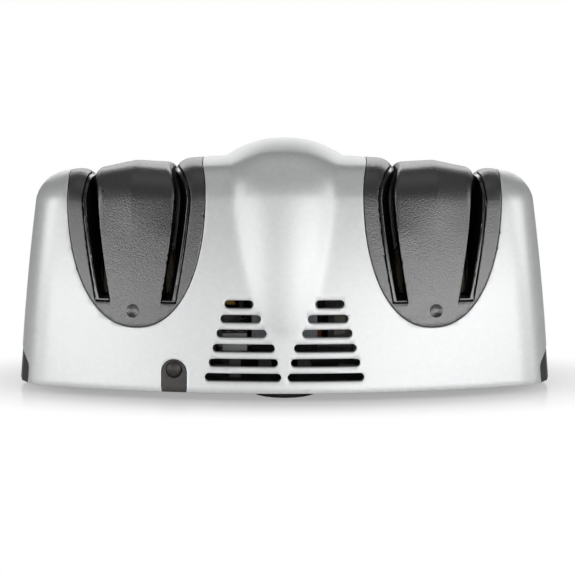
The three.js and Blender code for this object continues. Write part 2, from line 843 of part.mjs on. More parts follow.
// Cord gland: an arched insert with a flange behind the wall and a hooded round exit
function cordGland() {
  const face = -faceDepthAt(glandPlace, bodyBottom);
  const deep = wallThickness + fit;
  const insert = alongY(glandShape(0), -across, -bodyHalfDepth / 2).intersect(
    bodySolid(glandSink).subtract(bodySolid(deep + glandFlangeThickness, overrun)),
  );
  const flange = alongY(glandShape(glandFlange), -across, -bodyHalfDepth / 2)
    .intersect(bodySolid(deep).subtract(bodySolid(deep + glandFlangeThickness, overrun)))
    .subtract(block(-bodyHalfWidth, bodyHalfWidth, -across, across, -overrun, plateTop + fit));
  const radius = cordBoreRadius;
  const bore = solid(new THREE.CylinderGeometry(radius, radius, bodyHalfDepth, sidesSmall));
  const hood = solid(new THREE.SphereGeometry(hoodRadius, sidesSmall, turnSteps));
  const hoodPlace = hoodRadius - hoodProud - faceDepthAt(glandPlace, cordBoreHeight);
  const plug = hood.translate([glandPlace, hoodPlace, cordBoreHeight + hoodLift]);
  return insert
    .add(flange)
    .subtract(bore.translate([glandPlace, face, cordBoreHeight]))
    .add(plug.intersect(alongY(glandShape(-fit), -across, -bodyHalfDepth / 2)));
}

piece("cord_gland", cordGland(), darkGrey);

// End grips
sides.forEach(([name, side]) => {
  const grip = gripBlank(side, 0)
    .intersect(outer.subtract(bodySolid(gripThickness - fit, overrun)));
  piece(`end_grip_${name}`, grip, darkGrey);
});

// Base plate with its bearing pedestals, motor cradle, terminal post and cover rails
const footPlaces = [
  ["foot_rear", 0, rearFootRadius + rearFootSetback - bodyHalfDepth, rearFootRadius],
  ["foot_front_left", -frontFootPlace, frontFootSpread, frontFootRadius],
  ["foot_front_right", frontFootPlace, frontFootSpread, frontFootRadius],
];
const coverTop = plateBottom - fit;
const coverBottom = coverTop - coverThickness;

function coverRails(centre) {
  const inside = coverHalfWidth + fit;
  const start = -coverHalfDepth - fit;
  const end = coverHalfDepth + coverTravel;
  const lipTop = coverBottom - fit;
  const lipBottom = lipTop - railLipThickness;
  const rails = [-1, 1].flatMap((edge) => {
    const wall = [edge * inside, edge * (inside + railWidth)].sort((a, b) => a - b);
    const lip = [edge * (inside - railLip), edge * (inside + railWidth)].sort((a, b) => a - b);
    return [
      block(centre + wall[0], centre + wall[1], start - railWidth, end, lipBottom, plateBottom + fit),
      block(centre + lip[0], centre + lip[1], start - railWidth, end, lipBottom, lipTop),
    ];
  });
  const half = inside + railWidth;
  const top = plateBottom + fit;
  const stop = block(centre - half, centre + half, start - railWidth, start, lipBottom, top);
  return joined([...rails, stop]);
}

function basePlate() {
  const sheet = block(-bodyHalfWidth, bodyHalfWidth, -across, across, plateBottom, plateTop);
  const raised = [];
  const cuts = [];
  sides.forEach(([, side]) => {
    const x = side * pedestalPlace;
    const wall = roundedRectangle(
      -pedestalHalfWidth,
      pedestalHalfWidth,
      plateBottom,
      shaftHeight + pedestalCrown,
      pedestalHalfWidth / 2,
    );
    raised.push(alongX(wall, x - pedestalLength / 2, x + pedestalLength / 2));
    cuts.push(rod(bushOuterRadius + fit, x - pedestalLength, x + pedestalLength));
    const left = side * saddlePlace - swarfHalfWidth;
    const right = side * saddlePlace + swarfHalfWidth;
    cuts.push(block(left, right, -swarfHalfDepth, swarfHalfDepth, 0, plateTop + fit));
    [-1, 1].forEach((end) => {
      const y = end * screwSpread;
      const hole = screwShankRadius + fit + fit;
      cuts.push(post(hole, side * screwPlace, y, 0, plateTop + overrun, sidesHidden));
      cuts.push(post(screwHeadRadius + fit, side * screwPlace, y, 0, plateBottom + screwSocketDepth));
      const y0 = end * cradlePlace - cradleWidth / 2;
      const cradle = side * (statorHalfLength - cradleWidth);
      const x0 = cradle - cradleWidth / 2;
      const seat = shaftHeight - statorHalfHeight - fit;
      raised.push(block(x0, x0 + cradleWidth, y0, y0 + cradleWidth, plateBottom, seat));
    });
  });
  raised.push(block(
    terminalPlace - terminalPost,
    terminalPlace + terminalPost,
    -terminalSetback - terminalPost,
    -terminalSetback + terminalPost,
    plateBottom,
    terminalBottom - fit,
  ));
  footPlaces.forEach(([, x, y, radius]) => {
    cuts.push(post(radius + fit, x, y, 0, plateBottom + footSocket, sidesLarge));
  });
  const notch = alongY(glandShape(glandFlange + fit), -across, -bodyHalfDepth / 2).subtract(
    bodySolid(wallThickness + fit + glandFlangeThickness + fit, overrun),
  );
  const floor = sheet.intersect(underside).subtract(notch);
  const rails = sides.map(([, side]) => coverRails(side * saddlePlace));
  return joined([floor, ...raised]).subtract(joined(cuts)).add(joined(rails));
}

piece("base_plate", basePlate(), plateGrey);

// Feet
footPlaces.forEach(([name, x, y, radius]) => {
  const top = plateBottom + footSocket - fit;
  const profile = [[0, 0], [radius - footRim, 0], [radius, footRim], [radius, top], [0, top]];
  piece(name, upright(profile, x, y, sidesLarge), rubber);
});

// Screws that hold the base plate to the housing's bosses
let screwCount = 0;
sides.forEach(([, side]) => {
  [-1, 1].forEach((end) => {
    screwCount += 1;
    const seat = plateBottom + screwSocketDepth - fit;
    const head = seat - screwHeadHeight;
    const tip = plateTop + screwLength;
    const profile = [
      [0, head],
      [screwHeadRadius, head],
      [screwHeadRadius, seat],
      [screwShankRadius, seat],
      [screwShankRadius, tip - screwShankRadius],
      [0, tip],
    ];
    const screw = upright(profile, side * screwPlace, end * screwSpread, sidesHidden);
    piece(`housing_screw_${screwCount}`, screw, steel);
  });
});

// Swarf covers, each with a finger rib along its outer edge
sides.forEach(([name, side]) => {
  const centre = side * saddlePlace;
  const half = coverHalfWidth;
  const ribHalf = half - railLip - fit - fit;
  const end = coverHalfDepth;
  const plate = block(centre - half, centre + half, -end, end, coverBottom, coverTop);
  const ribStart = end - coverRibWidth;
  const ribBottom = coverBottom - coverRib;
  const rib = block(centre - ribHalf, centre + ribHalf, ribStart, end, ribBottom, coverTop);
  piece(`swarf_cover_${name}`, plate.add(rib), darkGrey);
});

// Motor: laminated stator, two field coils, brackets with bushes, brushes
function statorCore() {
  const outline = roundedRectangle(
    -statorHalfWidth,
    statorHalfWidth,
    shaftHeight - statorHalfHeight,
    shaftHeight + statorHalfHeight,
    statorCorner,
  );
  const cuts = [rod(statorBore, -statorHalfLength - fit, statorHalfLength + fit, sidesLarge)];
  [-1, 1].forEach((pole) => {
    [-1, 1].forEach((edge) => {
      const y = [edge * (coilInner - fit), edge * (coilOuter + fit)].sort((a, b) => a - b);
      const z = [pole * (coilBottom - fit), pole * (coilTop + fit)].sort((a, b) => a - b);
      const reach = statorHalfLength + fit;
      cuts.push(block(-reach, reach, y[0], y[1], shaftHeight + z[0], shaftHeight + z[1]));
    });
  });
  return alongX(outline, -statorHalfLength, statorHalfLength).subtract(joined(cuts));
}

function fieldCoil(pole) {
  const z = [pole * coilBottom, pole * coilTop].sort((a, b) => a - b);
  const reach = statorHalfLength + coilOverhang;
  const ring = roundedRectangle(-reach, reach, -coilOuter, coilOuter, coilOverhang);
  const gap = statorHalfLength + fit;
  const hole = roundedRectangle(-gap, gap, -coilInner, coilInner, fit);
  const from = shaftHeight + z[0];
  const to = shaftHeight + z[1];
  return alongZ(ring, from, to).subtract(alongZ(hole, from - fit, to + fit));
}

function motorBracket(side) {
  const outline = roundedRectangle(
    -bracketHalfWidth,
    bracketHalfWidth,
    plateTop + fit,
    shaftHeight + bracketTop,
    bracketCorner,
  );
  const half = bracketThickness / 2;
  const wall = [side * (bracketPlace - half), side * (bracketPlace + half)].sort((a, b) => a - b);
  const inside = side * (bracketPlace - bracketFoot);
  const foot = [inside, side * bracketPlace].sort((a, b) => a - b);
  const floor = block(
    foot[0],
    foot[1],
    -bracketHalfWidth,
    bracketHalfWidth,
    plateTop + fit,
    plateTop + fit + bracketThickness,
  );
  const hole = rod(bushOuterRadius + fit, wall[0] - fit, wall[1] + fit);
  return alongX(outline, wall[0], wall[1]).add(floor).subtract(hole);
}

piece("stator_core", statorCore(), laminations);
piece("field_coil_upper", fieldCoil(1), copper);
piece("field_coil_lower", fieldCoil(-1), copper);
sides.forEach(([name, side]) => {
  piece(`motor_bracket_${name}`, motorBracket(side), steel);
});
[["front", 1], ["back", -1]].forEach(([name, face]) => {
  const near = commutatorRadius + fit;
  const y = [face * near, face * (near + brushReach)].sort((a, b) => a - b);
  const end = bracketPlace - bracketThickness / 2 - fit;
  const low = shaftHeight - brushHalfHeight;
  const high = shaftHeight + brushHalfHeight;
  piece(`brush_holder_${name}`, block(-end, -brushStart, y[0], y[1], low, high), bronze);
});

// Shaft train
function ringSolid(inside, profile, count = sidesSmall) {
  const from = Math.min(...profile.map(([, place]) => place)) - fit;
  const to = Math.max(...profile.map(([, place]) => place)) + fit;
  return turned(profile, count).subtract(rod(inside, from, to));
}

const shaftProfile = [
  [0, -shaftHalfLength],
  [shaftRadius - shaftChamfer, -shaftHalfLength],
  [shaftRadius, shaftChamfer - shaftHalfLength],
  [shaftRadius, shaftHalfLength - shaftChamfer],
  [shaftRadius - shaftChamfer, shaftHalfLength],
  [0, shaftHalfLength],
];
piece("drive_shaft", turned(shaftProfile), steel);

const bore = shaftRadius + fit;
const windingEnd = armatureHalfLength + windingLength;
const armatureProfile = [
  [0, -windingEnd],
  [windingRadius - windingLength / 2, -windingEnd],
  [windingRadius, windingLength / 2 - windingEnd],
  [windingRadius, -armatureHalfLength],
  [armatureRadius, -armatureHalfLength],
  [armatureRadius, armatureHalfLength],
  [windingRadius, armatureHalfLength],
  [windingRadius, windingEnd - windingLength / 2],
  [windingRadius - windingLength / 2, windingEnd],
  [0, windingEnd],
];
piece("armature_core", ringSolid(bore, armatureProfile, sidesLarge), laminations);

const commutatorEnd = commutatorStart + commutatorLength;
const commutatorProfile = [
  [0, -commutatorEnd],
  [commutatorRadius, -commutatorEnd],
  [commutatorRadius, -commutatorStart],
  [0, -commutatorStart],
];
piece("commutator", ringSolid(bore, commutatorProfile), copper);

function coolingFan() {
  const from = fanPlace - fanWidth / 2;
  const to = fanPlace + fanWidth / 2;
  const hub = rod(fanHubRadius, from, to);
  const reach = fanRadius - fanHubRadius / 2;
  const length = fanWidth / Math.cos(fanPitch) - fanBladeThickness;
  const blades = [];
  for (let i = 0; i < fanBlades; i += 1) {
    const blade = new THREE.BoxGeometry(length, fanBladeThickness, reach)
      .rotateZ(fanPitch)
      .translate(fanPlace, 0, fanHubRadius / 2 + reach / 2)
      .rotateX((2 * Math.PI * i) / fanBlades)
      .translate(0, 0, shaftHeight);
    blades.push(solid(blade));
  }
  const swept = rod(fanRadius, from, to, sidesLarge);
  return joined([hub, ...blades]).intersect(swept).subtract(rod(bore, from - fit, to + fit));
}

piece("cooling_fan", coolingFan(), nylonWhite);

sides.forEach(([name, side]) => {
  const half = pedestalLength / 2;
  const flangeStart = half + fit;
  const outerBush = [
    [0, -half],
    [bushOuterRadius, -half],
    [bushOuterRadius, flangeStart],
    [bushFlangeRadius, flangeStart],
    [bushFlangeRadius, flangeStart + bushFlange],
    [0, flangeStart + bushFlange],
  ].map(([radius, place]) => [radius, pedestalPlace + place]);
  const innerHalf = innerBushLength / 2;
  const innerBush = [
    [0, -innerHalf],
    [bushOuterRadius, -innerHalf],
    [bushOuterRadius, innerHalf],
    [0, innerHalf],
  ].map(([radius, place]) => [radius, bracketPlace + place]);
  [["outer", outerBush], ["inner", innerBush]].forEach(([where, profile]) => {
    const bush = ringSolid(bore, profile);
    piece(`bush_${name}_${where}`, side > 0 ? bush : bush.mirror([1, 0, 0]), bronze);
  });
});

// Abrasive discs on the shaft, one behind each slot, pushed apart by the spring between them
const discProfile = [
  [0, discFacePlace - discThickness - discHubLength],
  [discHubRadius, discFacePlace - discThickness - discHubLength],
  [discHubRadius, discFacePlace - discThickness],
  [discRadius - discCone, discFacePlace - discThickness],
  [discRadius, discFacePlace - discThickness + discCone],
  [discRadius - discCone / 2, discFacePlace - discCone / 2],
  [discHubRadius * 2, discFacePlace],
  [0, discFacePlace],
];
const retainerProfile = [
  [0, discFacePlace + fit],
  [ringRadius, discFacePlace + fit],
  [ringRadius, discFacePlace + fit + ringThickness],
  [0, discFacePlace + fit + ringThickness],
];

// One spring coil as a helix about the shaft
class Helix extends THREE.Curve {
  constructor(centre, radius, length, turns) {
    super();
    Object.assign(this, { centre, radius, length, turns });
  }

  getPoint(share, target = new THREE.Vector3()) {
    const angle = 2 * Math.PI * this.turns * share;
    const x = this.centre + this.length * (share - 1 / 2);
    return target.set(x, this.radius * Math.sin(angle), shaftHeight + this.radius * Math.cos(angle));
  }
}

function discSpring(centre) {
  const seats = 2 * (discFacePlace - discThickness - discHubLength);
  const helix = new Helix(centre, springRadius, seats - springWire * 2 - fit * 2, springTurns);
  const wire = new THREE.Shape().absarc(0, 0, springWire, 0, 2 * Math.PI, false);
  const steps = springTurns * turnSteps;
  return solid(new THREE.ExtrudeGeometry(wire, { steps, extrudePath: helix, curveSegments: arcSteps }));
}

sides.forEach(([name, side]) => {
  const centre = side * saddlePlace;
  [["inner", -side], ["outer", side]].forEach(([where, edge]) => {
    const disc = ringSolid(bore, discProfile, sidesLarge);
    const retainer = ringSolid(bore, retainerProfile);
    const place = (made) => (edge > 0 ? made : made.mirror([1, 0, 0])).translate([centre, 0, 0]);
    piece(`disc_${name}_${where}`, place(disc), abrasive);
    piece(`retaining_ring_${name}_${where}`, place(retainer), steel);
  });
  piece(`disc_spring_${name}`, discSpring(centre), steel);
});

// Rocker switch, square to the slope of the face at +Y, with the rocker resting at off
function switchBody() {
  const rim = roundedRectangle(
    -switchHalfWidth - switchRim,
    switchHalfWidth + switchRim,
    -switchHalfHeight - switchRim,
    switchHalfHeight + switchRim,
    switchRim,
  );
  const flange = alongY(rim, fit + fit, fit + fit + switchRimThickness);
  const half = switchHalfWidth;
  const lip = fit + switchRimThickness;
  const can = block(-half, half, fit - switchDepth, lip, -switchHalfHeight, switchHalfHeight);
  const pocketWidth = rockerHalfWidth + fit + fit;
  const pocketHeight = rockerHalfHeight + fit;
  const pocket = block(-pocketWidth, pocketWidth, -rockerPocket, overrun, -pocketHeight, pocketHeight);
  const tabs = [-1, 0, 1].map((place) => {
    const x0 = place * tabSpread - tabThickness / 2;
    const y = fit - switchDepth;
    return block(x0, x0 + tabThickness, y - tabLength, y + fit, -tabHalfWidth, tabHalfWidth);
  });
  return joined([flange, can, ...tabs]).subtract(pocket);
}

function rocker() {
  const shape = new THREE.Shape();
  shape.moveTo(-rockerHalfWidth, rockerEdge);
  shape.lineTo(-rockerHalfWidth, -rockerEdge);
  shape.lineTo(-rockerHalfWidth / 2, -rockerKeel);
  shape.lineTo(rockerHalfWidth / 2, -rockerKeel);
  shape.lineTo(rockerHalfWidth, -rockerEdge);
  shape.lineTo(rockerHalfWidth, rockerEdge);
  shape.quadraticCurveTo(rockerHalfWidth / 2, rockerEdge, 0, rockerCrown);
  shape.quadraticCurveTo(-rockerHalfWidth / 2, rockerEdge, -rockerHalfWidth, rockerEdge);
  const flat = alongZ(shape, -rockerHalfHeight, rockerHalfHeight);
  return solid(geometryOf(flat).rotateZ(-rockerTilt));
}

const switchGroup = new THREE.Group();
switchGroup.applyMatrix4(switchFrame());
piece("switch_body", switchBody(), glossBlack, switchGroup);
piece("power_rocker", rocker(), glossBlack, switchGroup);
group.add(switchGroup);

// Mains terminal block on its post beside the gland
function terminalBlock() {
  const x0 = terminalPlace - terminalHalfWidth;
  const x1 = terminalPlace + terminalHalfWidth;
  const y = -terminalSetback;
  const top = terminalBottom + terminalHeight;
  const body = block(x0, x1, y - terminalHalfDepth, y + terminalHalfDepth, terminalBottom, top);
  const holes = [-1, 1].map((edge) => {
    const x = terminalPlace + (edge * terminalHalfWidth) / 2;
    return post(terminalWire, x, y, terminalBottom + terminalHeight / 2, top + fit);
  });
  return body.subtract(joined(holes));
}

piece("terminal_block", terminalBlock(), terminalGrey);

export default group;
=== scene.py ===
import json
import math

import bmesh
import bpy
import numpy as np
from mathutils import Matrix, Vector
from mathutils.bvhtree import BVHTree

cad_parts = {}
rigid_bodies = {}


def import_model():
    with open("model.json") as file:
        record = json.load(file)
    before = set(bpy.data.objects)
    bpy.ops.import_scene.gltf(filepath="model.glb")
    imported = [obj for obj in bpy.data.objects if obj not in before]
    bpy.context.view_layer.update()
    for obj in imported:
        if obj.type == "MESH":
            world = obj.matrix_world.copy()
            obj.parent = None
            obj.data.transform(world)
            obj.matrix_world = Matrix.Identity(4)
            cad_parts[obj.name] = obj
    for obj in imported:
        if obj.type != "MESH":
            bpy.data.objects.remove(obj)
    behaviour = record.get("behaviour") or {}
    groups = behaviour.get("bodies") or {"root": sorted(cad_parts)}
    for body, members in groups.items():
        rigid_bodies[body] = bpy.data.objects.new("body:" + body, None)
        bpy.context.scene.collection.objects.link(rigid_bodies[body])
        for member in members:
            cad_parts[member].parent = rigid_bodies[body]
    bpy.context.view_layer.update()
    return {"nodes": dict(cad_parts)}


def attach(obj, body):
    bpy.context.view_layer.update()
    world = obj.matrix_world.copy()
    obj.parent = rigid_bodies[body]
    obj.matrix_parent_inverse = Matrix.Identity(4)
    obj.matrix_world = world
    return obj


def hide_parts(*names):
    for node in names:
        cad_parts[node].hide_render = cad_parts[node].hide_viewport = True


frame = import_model()
scene = bpy.context.scene
scene.view_settings.view_transform = "Standard"

# Camera. It stands square to the face with the vents, a little above the table, as far
# away as a product photographer's camera. Aim and distance come from the picture's own
# landmarks, with the picture taken as 575 x 575.
CAMERA_HEIGHT_ANGLE = math.radians(8.523)
CAMERA_DISTANCE = 0.9045
PIXELS_PER_METRE_AT_CENTRE = 2134.6
PICTURE_SIDE = 575
AIM = Vector((0.00137, 0.0, 0.04395))
SENSOR = 36.0

camera_data = bpy.data.cameras.new("camera")
camera_data.sensor_width = SENSOR
camera_data.lens = SENSOR * CAMERA_DISTANCE * PIXELS_PER_METRE_AT_CENTRE / PICTURE_SIDE
camera = bpy.data.objects.new("camera", camera_data)
scene.collection.objects.link(camera)
toward = Vector((0, -math.cos(CAMERA_HEIGHT_ANGLE), math.sin(CAMERA_HEIGHT_ANGLE)))
camera.location = AIM + toward * CAMERA_DISTANCE
camera.rotation_euler = (math.pi / 2 - CAMERA_HEIGHT_ANGLE, 0, 0)
scene.camera = camera


# Floor: a sheet of gloss white acrylic, cast and polished, which takes a faint reflection
# of the object and its contact shadow.
def linear(code):
    """An sRGB hex colour as linear red, green, blue and alpha."""
    channels = [int(code[i:i + 2], 16) / 255 for i in (1, 3, 5)]
    return [c / 12.92 if c <= 0.04045 else ((c + 0.055) / 1.055) ** 2.4
            for c in channels] + [1.0]


def add_node(material, kind, sockets=None, **settings):
    """One shader node; sockets maps an input to a value or to another node's output."""
    made = material.node_tree.nodes.new(kind)
    for name, value in settings.items():
        setattr(made, name, value)
    for name, value in (sockets or {}).items():
        if isinstance(value, bpy.types.NodeSocket):
            material.node_tree.links.new(value, made.inputs[name])
        else:
            made.inputs[name].default_value = value
    return made


FLOOR_SIDE = 6.0
FLOOR_ROUGHNESS = 0.22
FLOOR_GLOSS = 0.35
SHADOW_OVAL = (0.45, 1.0, 1.0)
SHADOW_START = 0.047
SHADOW_END = 0.09
SHADOW_WHITE_SHARE = 0.35

bpy.ops.object.select_all(action="DESELECT")
bpy.ops.mesh.primitive_plane_add(size=FLOOR_SIDE, location=(0, 0, 0))
floor = bpy.context.object
floor.name = "floor"
floor_acrylic = bpy.data.materials.new("white_cast_acrylic")
floor_acrylic.use_nodes = True
nodes = floor_acrylic.node_tree.nodes
acrylic = nodes["Principled BSDF"]
acrylic.inputs["Base Color"].default_value = linear("#f4f4f3")
acrylic.inputs["Roughness"].default_value = FLOOR_ROUGHNESS
acrylic.inputs["Specular IOR Level"].default_value = FLOOR_GLOSS
# To the camera the sheet is painted an even glowing white. The glow fades out in an oval round
# the object, so the rendered contact shadow and reflection show there.
white = add_node(floor_acrylic, "ShaderNodeEmission", {"Color": linear("#ffffff")})
path = add_node(floor_acrylic, "ShaderNodeLightPath")
around = add_node(floor_acrylic, "ShaderNodeTexCoord")
oval = add_node(floor_acrylic, "ShaderNodeVectorMath",
                {0: around.outputs["Object"], 1: SHADOW_OVAL}, operation="MULTIPLY")
length = add_node(floor_acrylic, "ShaderNodeVectorMath", {0: oval.outputs["Vector"]},
                  operation="LENGTH")
fade = add_node(floor_acrylic, "ShaderNodeMapRange",
                {"Value": length.outputs["Value"], "From Min": SHADOW_START,
                 "From Max": SHADOW_END, "To Min": SHADOW_WHITE_SHARE, "To Max": 1.0},
                interpolation_type="SMOOTHSTEP")
seen = add_node(floor_acrylic, "ShaderNodeMath",
                {0: fade.outputs["Result"], 1: path.outputs["Is Camera Ray"]},
                operation="MULTIPLY")
mixed = add_node(floor_acrylic, "ShaderNodeMixShader",
                 {0: seen.outputs[0], 1: acrylic.outputs[0], 2: white.outputs[0]})
floor_acrylic.node_tree.links.new(
    mixed.outputs[0], nodes["Material Output"].inputs["Surface"])
floor.data.materials.append(floor_acrylic)

# World and lamps: white studio surroundings for the camera, and low, wide soft boxes in
# front on both sides for the broad highlights on the wall, with a weak fill between them.
# Two more stand at the ends, one behind and a faint one overhead.
WORLD_LIGHT = 0.12
world = bpy.data.worlds.new("studio")
scene.world = world
world.use_nodes = True
sky = world.node_tree.nodes["Background"]
sky.inputs["Color"].default_value = linear("#ffffff")
look = add_node(world, "ShaderNodeLightPath")
through = add_node(world, "ShaderNodeMath",
                   {0: look.outputs["Is Camera Ray"], 1: look.outputs["Is Transmission Ray"]},
                   operation="MAXIMUM")
level = add_node(world, "ShaderNodeMapRange",
                 {"Value": through.outputs[0], "To Min": WORLD_LIGHT, "To Max": 1.0})
world.node_tree.links.new(level.outputs["Result"], sky.inputs["Strength"])

# For each soft box: its place and the height it aims at, its width and height, all in
# metres, and its power in watts.
SOFT_BOXES = {
    "soft_box_front_left": ((-0.97, -1.2, 0.2), 0.06, 0.9, 0.4, 4.3),
    "soft_box_front_fill": ((-0.26, -1.35, 0.13), 0.06, 0.5, 0.3, 1.1),
    "soft_box_front_right": ((0.68, -1.3, 0.2), 0.06, 1.36, 0.4, 7.4),
    "soft_box_left": ((-1.25, -0.35, 0.45), 0.06, 0.7, 0.8, 4.2),
    "soft_box_right": ((1.25, -0.35, 0.45), 0.06, 0.7, 0.8, 4.2),
    "soft_box_back": ((0.0, 1.2, 0.55), 0.05, 1.4, 0.6, 5.6),
    "soft_box_top": ((0.0, 0.0, 1.2), 0.05, 1.2, 0.9, 0.9),
}
for name, (place, aim_height, width, height, power) in SOFT_BOXES.items():
    lamp = bpy.data.lights.new(name, "AREA")
    lamp.shape = "RECTANGLE"
    lamp.size = width
    lamp.size_y = height
    lamp.energy = power
    soft_box = bpy.data.objects.new(name, lamp)
    soft_box.location = place
    aim = Vector((0, 0, aim_height)) - Vector(place)
    soft_box.rotation_euler = aim.to_track_quat("-Z", "Y").to_euler()
    scene.collection.objects.link(soft_box)


# Upper housing: a thin-walled ABS shell, injection moulded in one piece with its dome,
# vents and openings, then sprayed with a satin silver paint. Four bosses inside take the
# screws. From here on sizes are in millimetres, which MM turns to metres.
MM = 0.001
BODY_HALF_WIDTH = 123.6
BODY_HALF_DEPTH = 50.0
BODY_BOTTOM = 3.4
TOP_HEIGHT = 106.0
WALL = 2.6
WALL_TOP_HALF_WIDTH = 115.2
WALL_TOP_HALF_DEPTH = 37.6
FACE_BOW = 22.0
TOP_FACE_BOW = 16.5
END_BOW = 5.6
CORNER = 10.0
CORNER_DEPTH_SHARE = 0.8
BELLY = 0.8
SHOULDER = 14.0
CROWN_FALL = 10.4
ARCH_FALL = 13.2
LEAN = math.atan((BODY_HALF_DEPTH - WALL_TOP_HALF_DEPTH)
                 / (TOP_HEIGHT - SHOULDER - BODY_BOTTOM))
EASE = 2.0
EASE_START_SHARE = 0.5
SHOULDER_START = math.radians(15.2)
FACE_STEPS, CORNER_STEPS, END_STEPS = 56, 8, 10
WALL_STEPS, SHOULDER_STEPS, TOP_STEPS = 26, 12, 24
FIT = 0.3
OVERRUN = 12.0


def top_at(x, y):
    """Height of the crowned top at a place."""
    return TOP_HEIGHT - CROWN_FALL * (x / BODY_HALF_WIDTH) ** 2 \
        - ARCH_FALL * (y / BODY_HALF_DEPTH) ** 2


def plan(half_width, half_depth, bow):
    """Half of the body's outline at one level, from the middle of the -Y face to an end."""
    edge_x, edge_y = half_width - END_BOW, half_depth - bow
    soft = min(CORNER, edge_y * CORNER_DEPTH_SHARE)
    face = [(x, -half_depth + bow * (x / edge_x) ** 2)
            for x in np.linspace(0, edge_x - soft, FACE_STEPS + 1)]
    end = [(half_width - END_BOW * (y / edge_y) ** 2, y)
           for y in np.linspace(soft - edge_y, 0, END_STEPS + 1)]
    (x0, y0), (x2, y2) = face[-1], end[0]
    bend = [((1 - t) ** 2 * x0 + 2 * t * (1 - t) * edge_x + t * t * x2,
             (1 - t) ** 2 * y0 - 2 * t * (1 - t) * edge_y + t * t * y2)
            for t in np.linspace(0, 1, CORNER_STEPS + 1)]
    return np.array(face + bend[1:-1] + end)


def eased(share):
    """How far the upper wall bends in towards the shoulder, by its share of the height."""
    return EASE * (np.maximum(share - EASE_START_SHARE, 0) / (1 - EASE_START_SHARE)) ** 2


def belly(share):
    """How far the wall swells out, by its share of the height: most at half height."""
    return BELLY * 4 * share * (1 - share)


def levels(inset):
    """The outlines from the bottom edge up to the crown, each with its heights."""
    radius = SHOULDER - inset
    rise = radius * (1 - math.sin(SHOULDER_START))
    rows = []
    for share in np.linspace(0, 1, WALL_STEPS + 1):
        swell = belly(share)
        outline = plan(BODY_HALF_WIDTH + (WALL_TOP_HALF_WIDTH - BODY_HALF_WIDTH) * share
                       + swell - inset,
                       BODY_HALF_DEPTH + (WALL_TOP_HALF_DEPTH - BODY_HALF_DEPTH) * share
                       + swell - eased(share) - inset,
                       FACE_BOW + (TOP_FACE_BOW - FACE_BOW) * share)
        wall_top = top_at(outline[:, 0], outline[:, 1]) - inset - rise
        rows.append((outline, BODY_BOTTOM + (wall_top - BODY_BOTTOM) * share))
    for angle in np.linspace(SHOULDER_START, math.pi / 2, SHOULDER_STEPS + 1)[1:]:
        reach = inset + radius * (math.cos(SHOULDER_START) - math.cos(angle))
        outline = plan(WALL_TOP_HALF_WIDTH - reach, WALL_TOP_HALF_DEPTH - EASE - reach,
                       TOP_FACE_BOW)
        height = top_at(outline[:, 0], outline[:, 1]) - inset - radius * (1 - math.sin(angle))
        rows.append((outline, height))
    return rows


def skin_points(inset):
    """Points of the skin: one column per place along X, one row per step over the body."""
    rows = levels(inset)
    front = [np.column_stack((outline, height)) for outline, height in rows]
    edge = front[-1]
    cap = []
    for share in np.linspace(-1, 1, TOP_STEPS + 1)[1:-1]:
        y = -edge[:, 1] * share
        cap.append(np.column_stack((edge[:, 0], y, top_at(edge[:, 0], y) - inset)))
    back = [row * (1, -1, 1) for row in reversed(front)]
    half = np.array(front + cap + back)
    left = half[:, :0:-1] * (-1, 1, 1)
    return np.concatenate((left, half), axis=1)


def arc_shares(line, toe):
    """For each point of a section line, how far it is along the way from toe to crest."""
    steps = np.linalg.norm(np.diff(line, axis=0), axis=1)
    run = np.concatenate(([0], np.cumsum(steps)))
    start = np.interp(toe, line[:len(line) // 2, 2], run[:len(line) // 2])
    middle = run[-1] / 2
    return np.clip((middle - np.abs(run - middle) - start) / (middle - start), 0, 1)


def outward(line):
    """Unit normals of a section line that runs over the body from -Y to +Y."""
    along = np.gradient(line, axis=0)
    normal = np.column_stack((np.zeros(len(line)), -along[:, 2], along[:, 1]))
    return normal / np.linalg.norm(normal, axis=1)[:, None]


DOME_RISE = 8.17
DOME_HALF_WIDTH = 27.3
DOME_TOE = 28.0
DOME_SPREAD_POWER = 0.38
DOME_SWELL_POWER = 0.75
DOME_ROUNDNESS_POWER = 2.3
DOME_CREASE = 0.9
DOME_REACH = 2.9
SMALLEST_SHARE = 1e-6


def raise_dome(points):
    """The dome and its tongue, swelling out of the skin with a softened crease."""
    centre = points[:, points.shape[1] // 2]
    share = arc_shares(centre, DOME_TOE)[:, None]
    width = DOME_HALF_WIDTH * np.maximum(share, SMALLEST_SHARE) ** DOME_SPREAD_POWER
    height = DOME_RISE * share ** DOME_SWELL_POWER
    place = np.minimum(np.abs(points[:, :, 0]) / width, DOME_REACH)
    lift = height * (1 - place ** DOME_ROUNDNESS_POWER)
    crease = DOME_CREASE * np.sqrt(share)
    soft = (lift + np.sqrt(lift ** 2 + crease ** 2)) / 2
    soft = np.where(place < DOME_REACH, soft, 0)
    return points + outward(centre)[:, None, :] * soft[:, :, None]


def grid_from(name, points):
    """A grid primitive whose vertices are laid on the points of a skin."""
    rows, columns = points.shape[:2]
    bpy.ops.object.select_all(action="DESELECT")
    bpy.ops.mesh.primitive_grid_add(x_subdivisions=columns - 1, y_subdivisions=rows - 1)
    made = bpy.context.object
    made.name = name
    made.data.vertices.foreach_set("co", (points.reshape(-1, 3) * MM).ravel())
    made.data.update()
    return made


def edit(piece):
    """Opens a piece in edit mode with nothing selected."""
    bpy.ops.object.select_all(action="DESELECT")
    bpy.context.view_layer.objects.active = piece
    piece.select_set(True)
    bpy.ops.object.mode_set(mode="EDIT")
    bpy.ops.mesh.select_mode(type="VERT")
    bpy.ops.mesh.select_all(action="DESELECT")


def leave():
    """Goes back to object mode."""
    bpy.ops.object.mode_set(mode="OBJECT")


SEAM_MERGE = 0.001


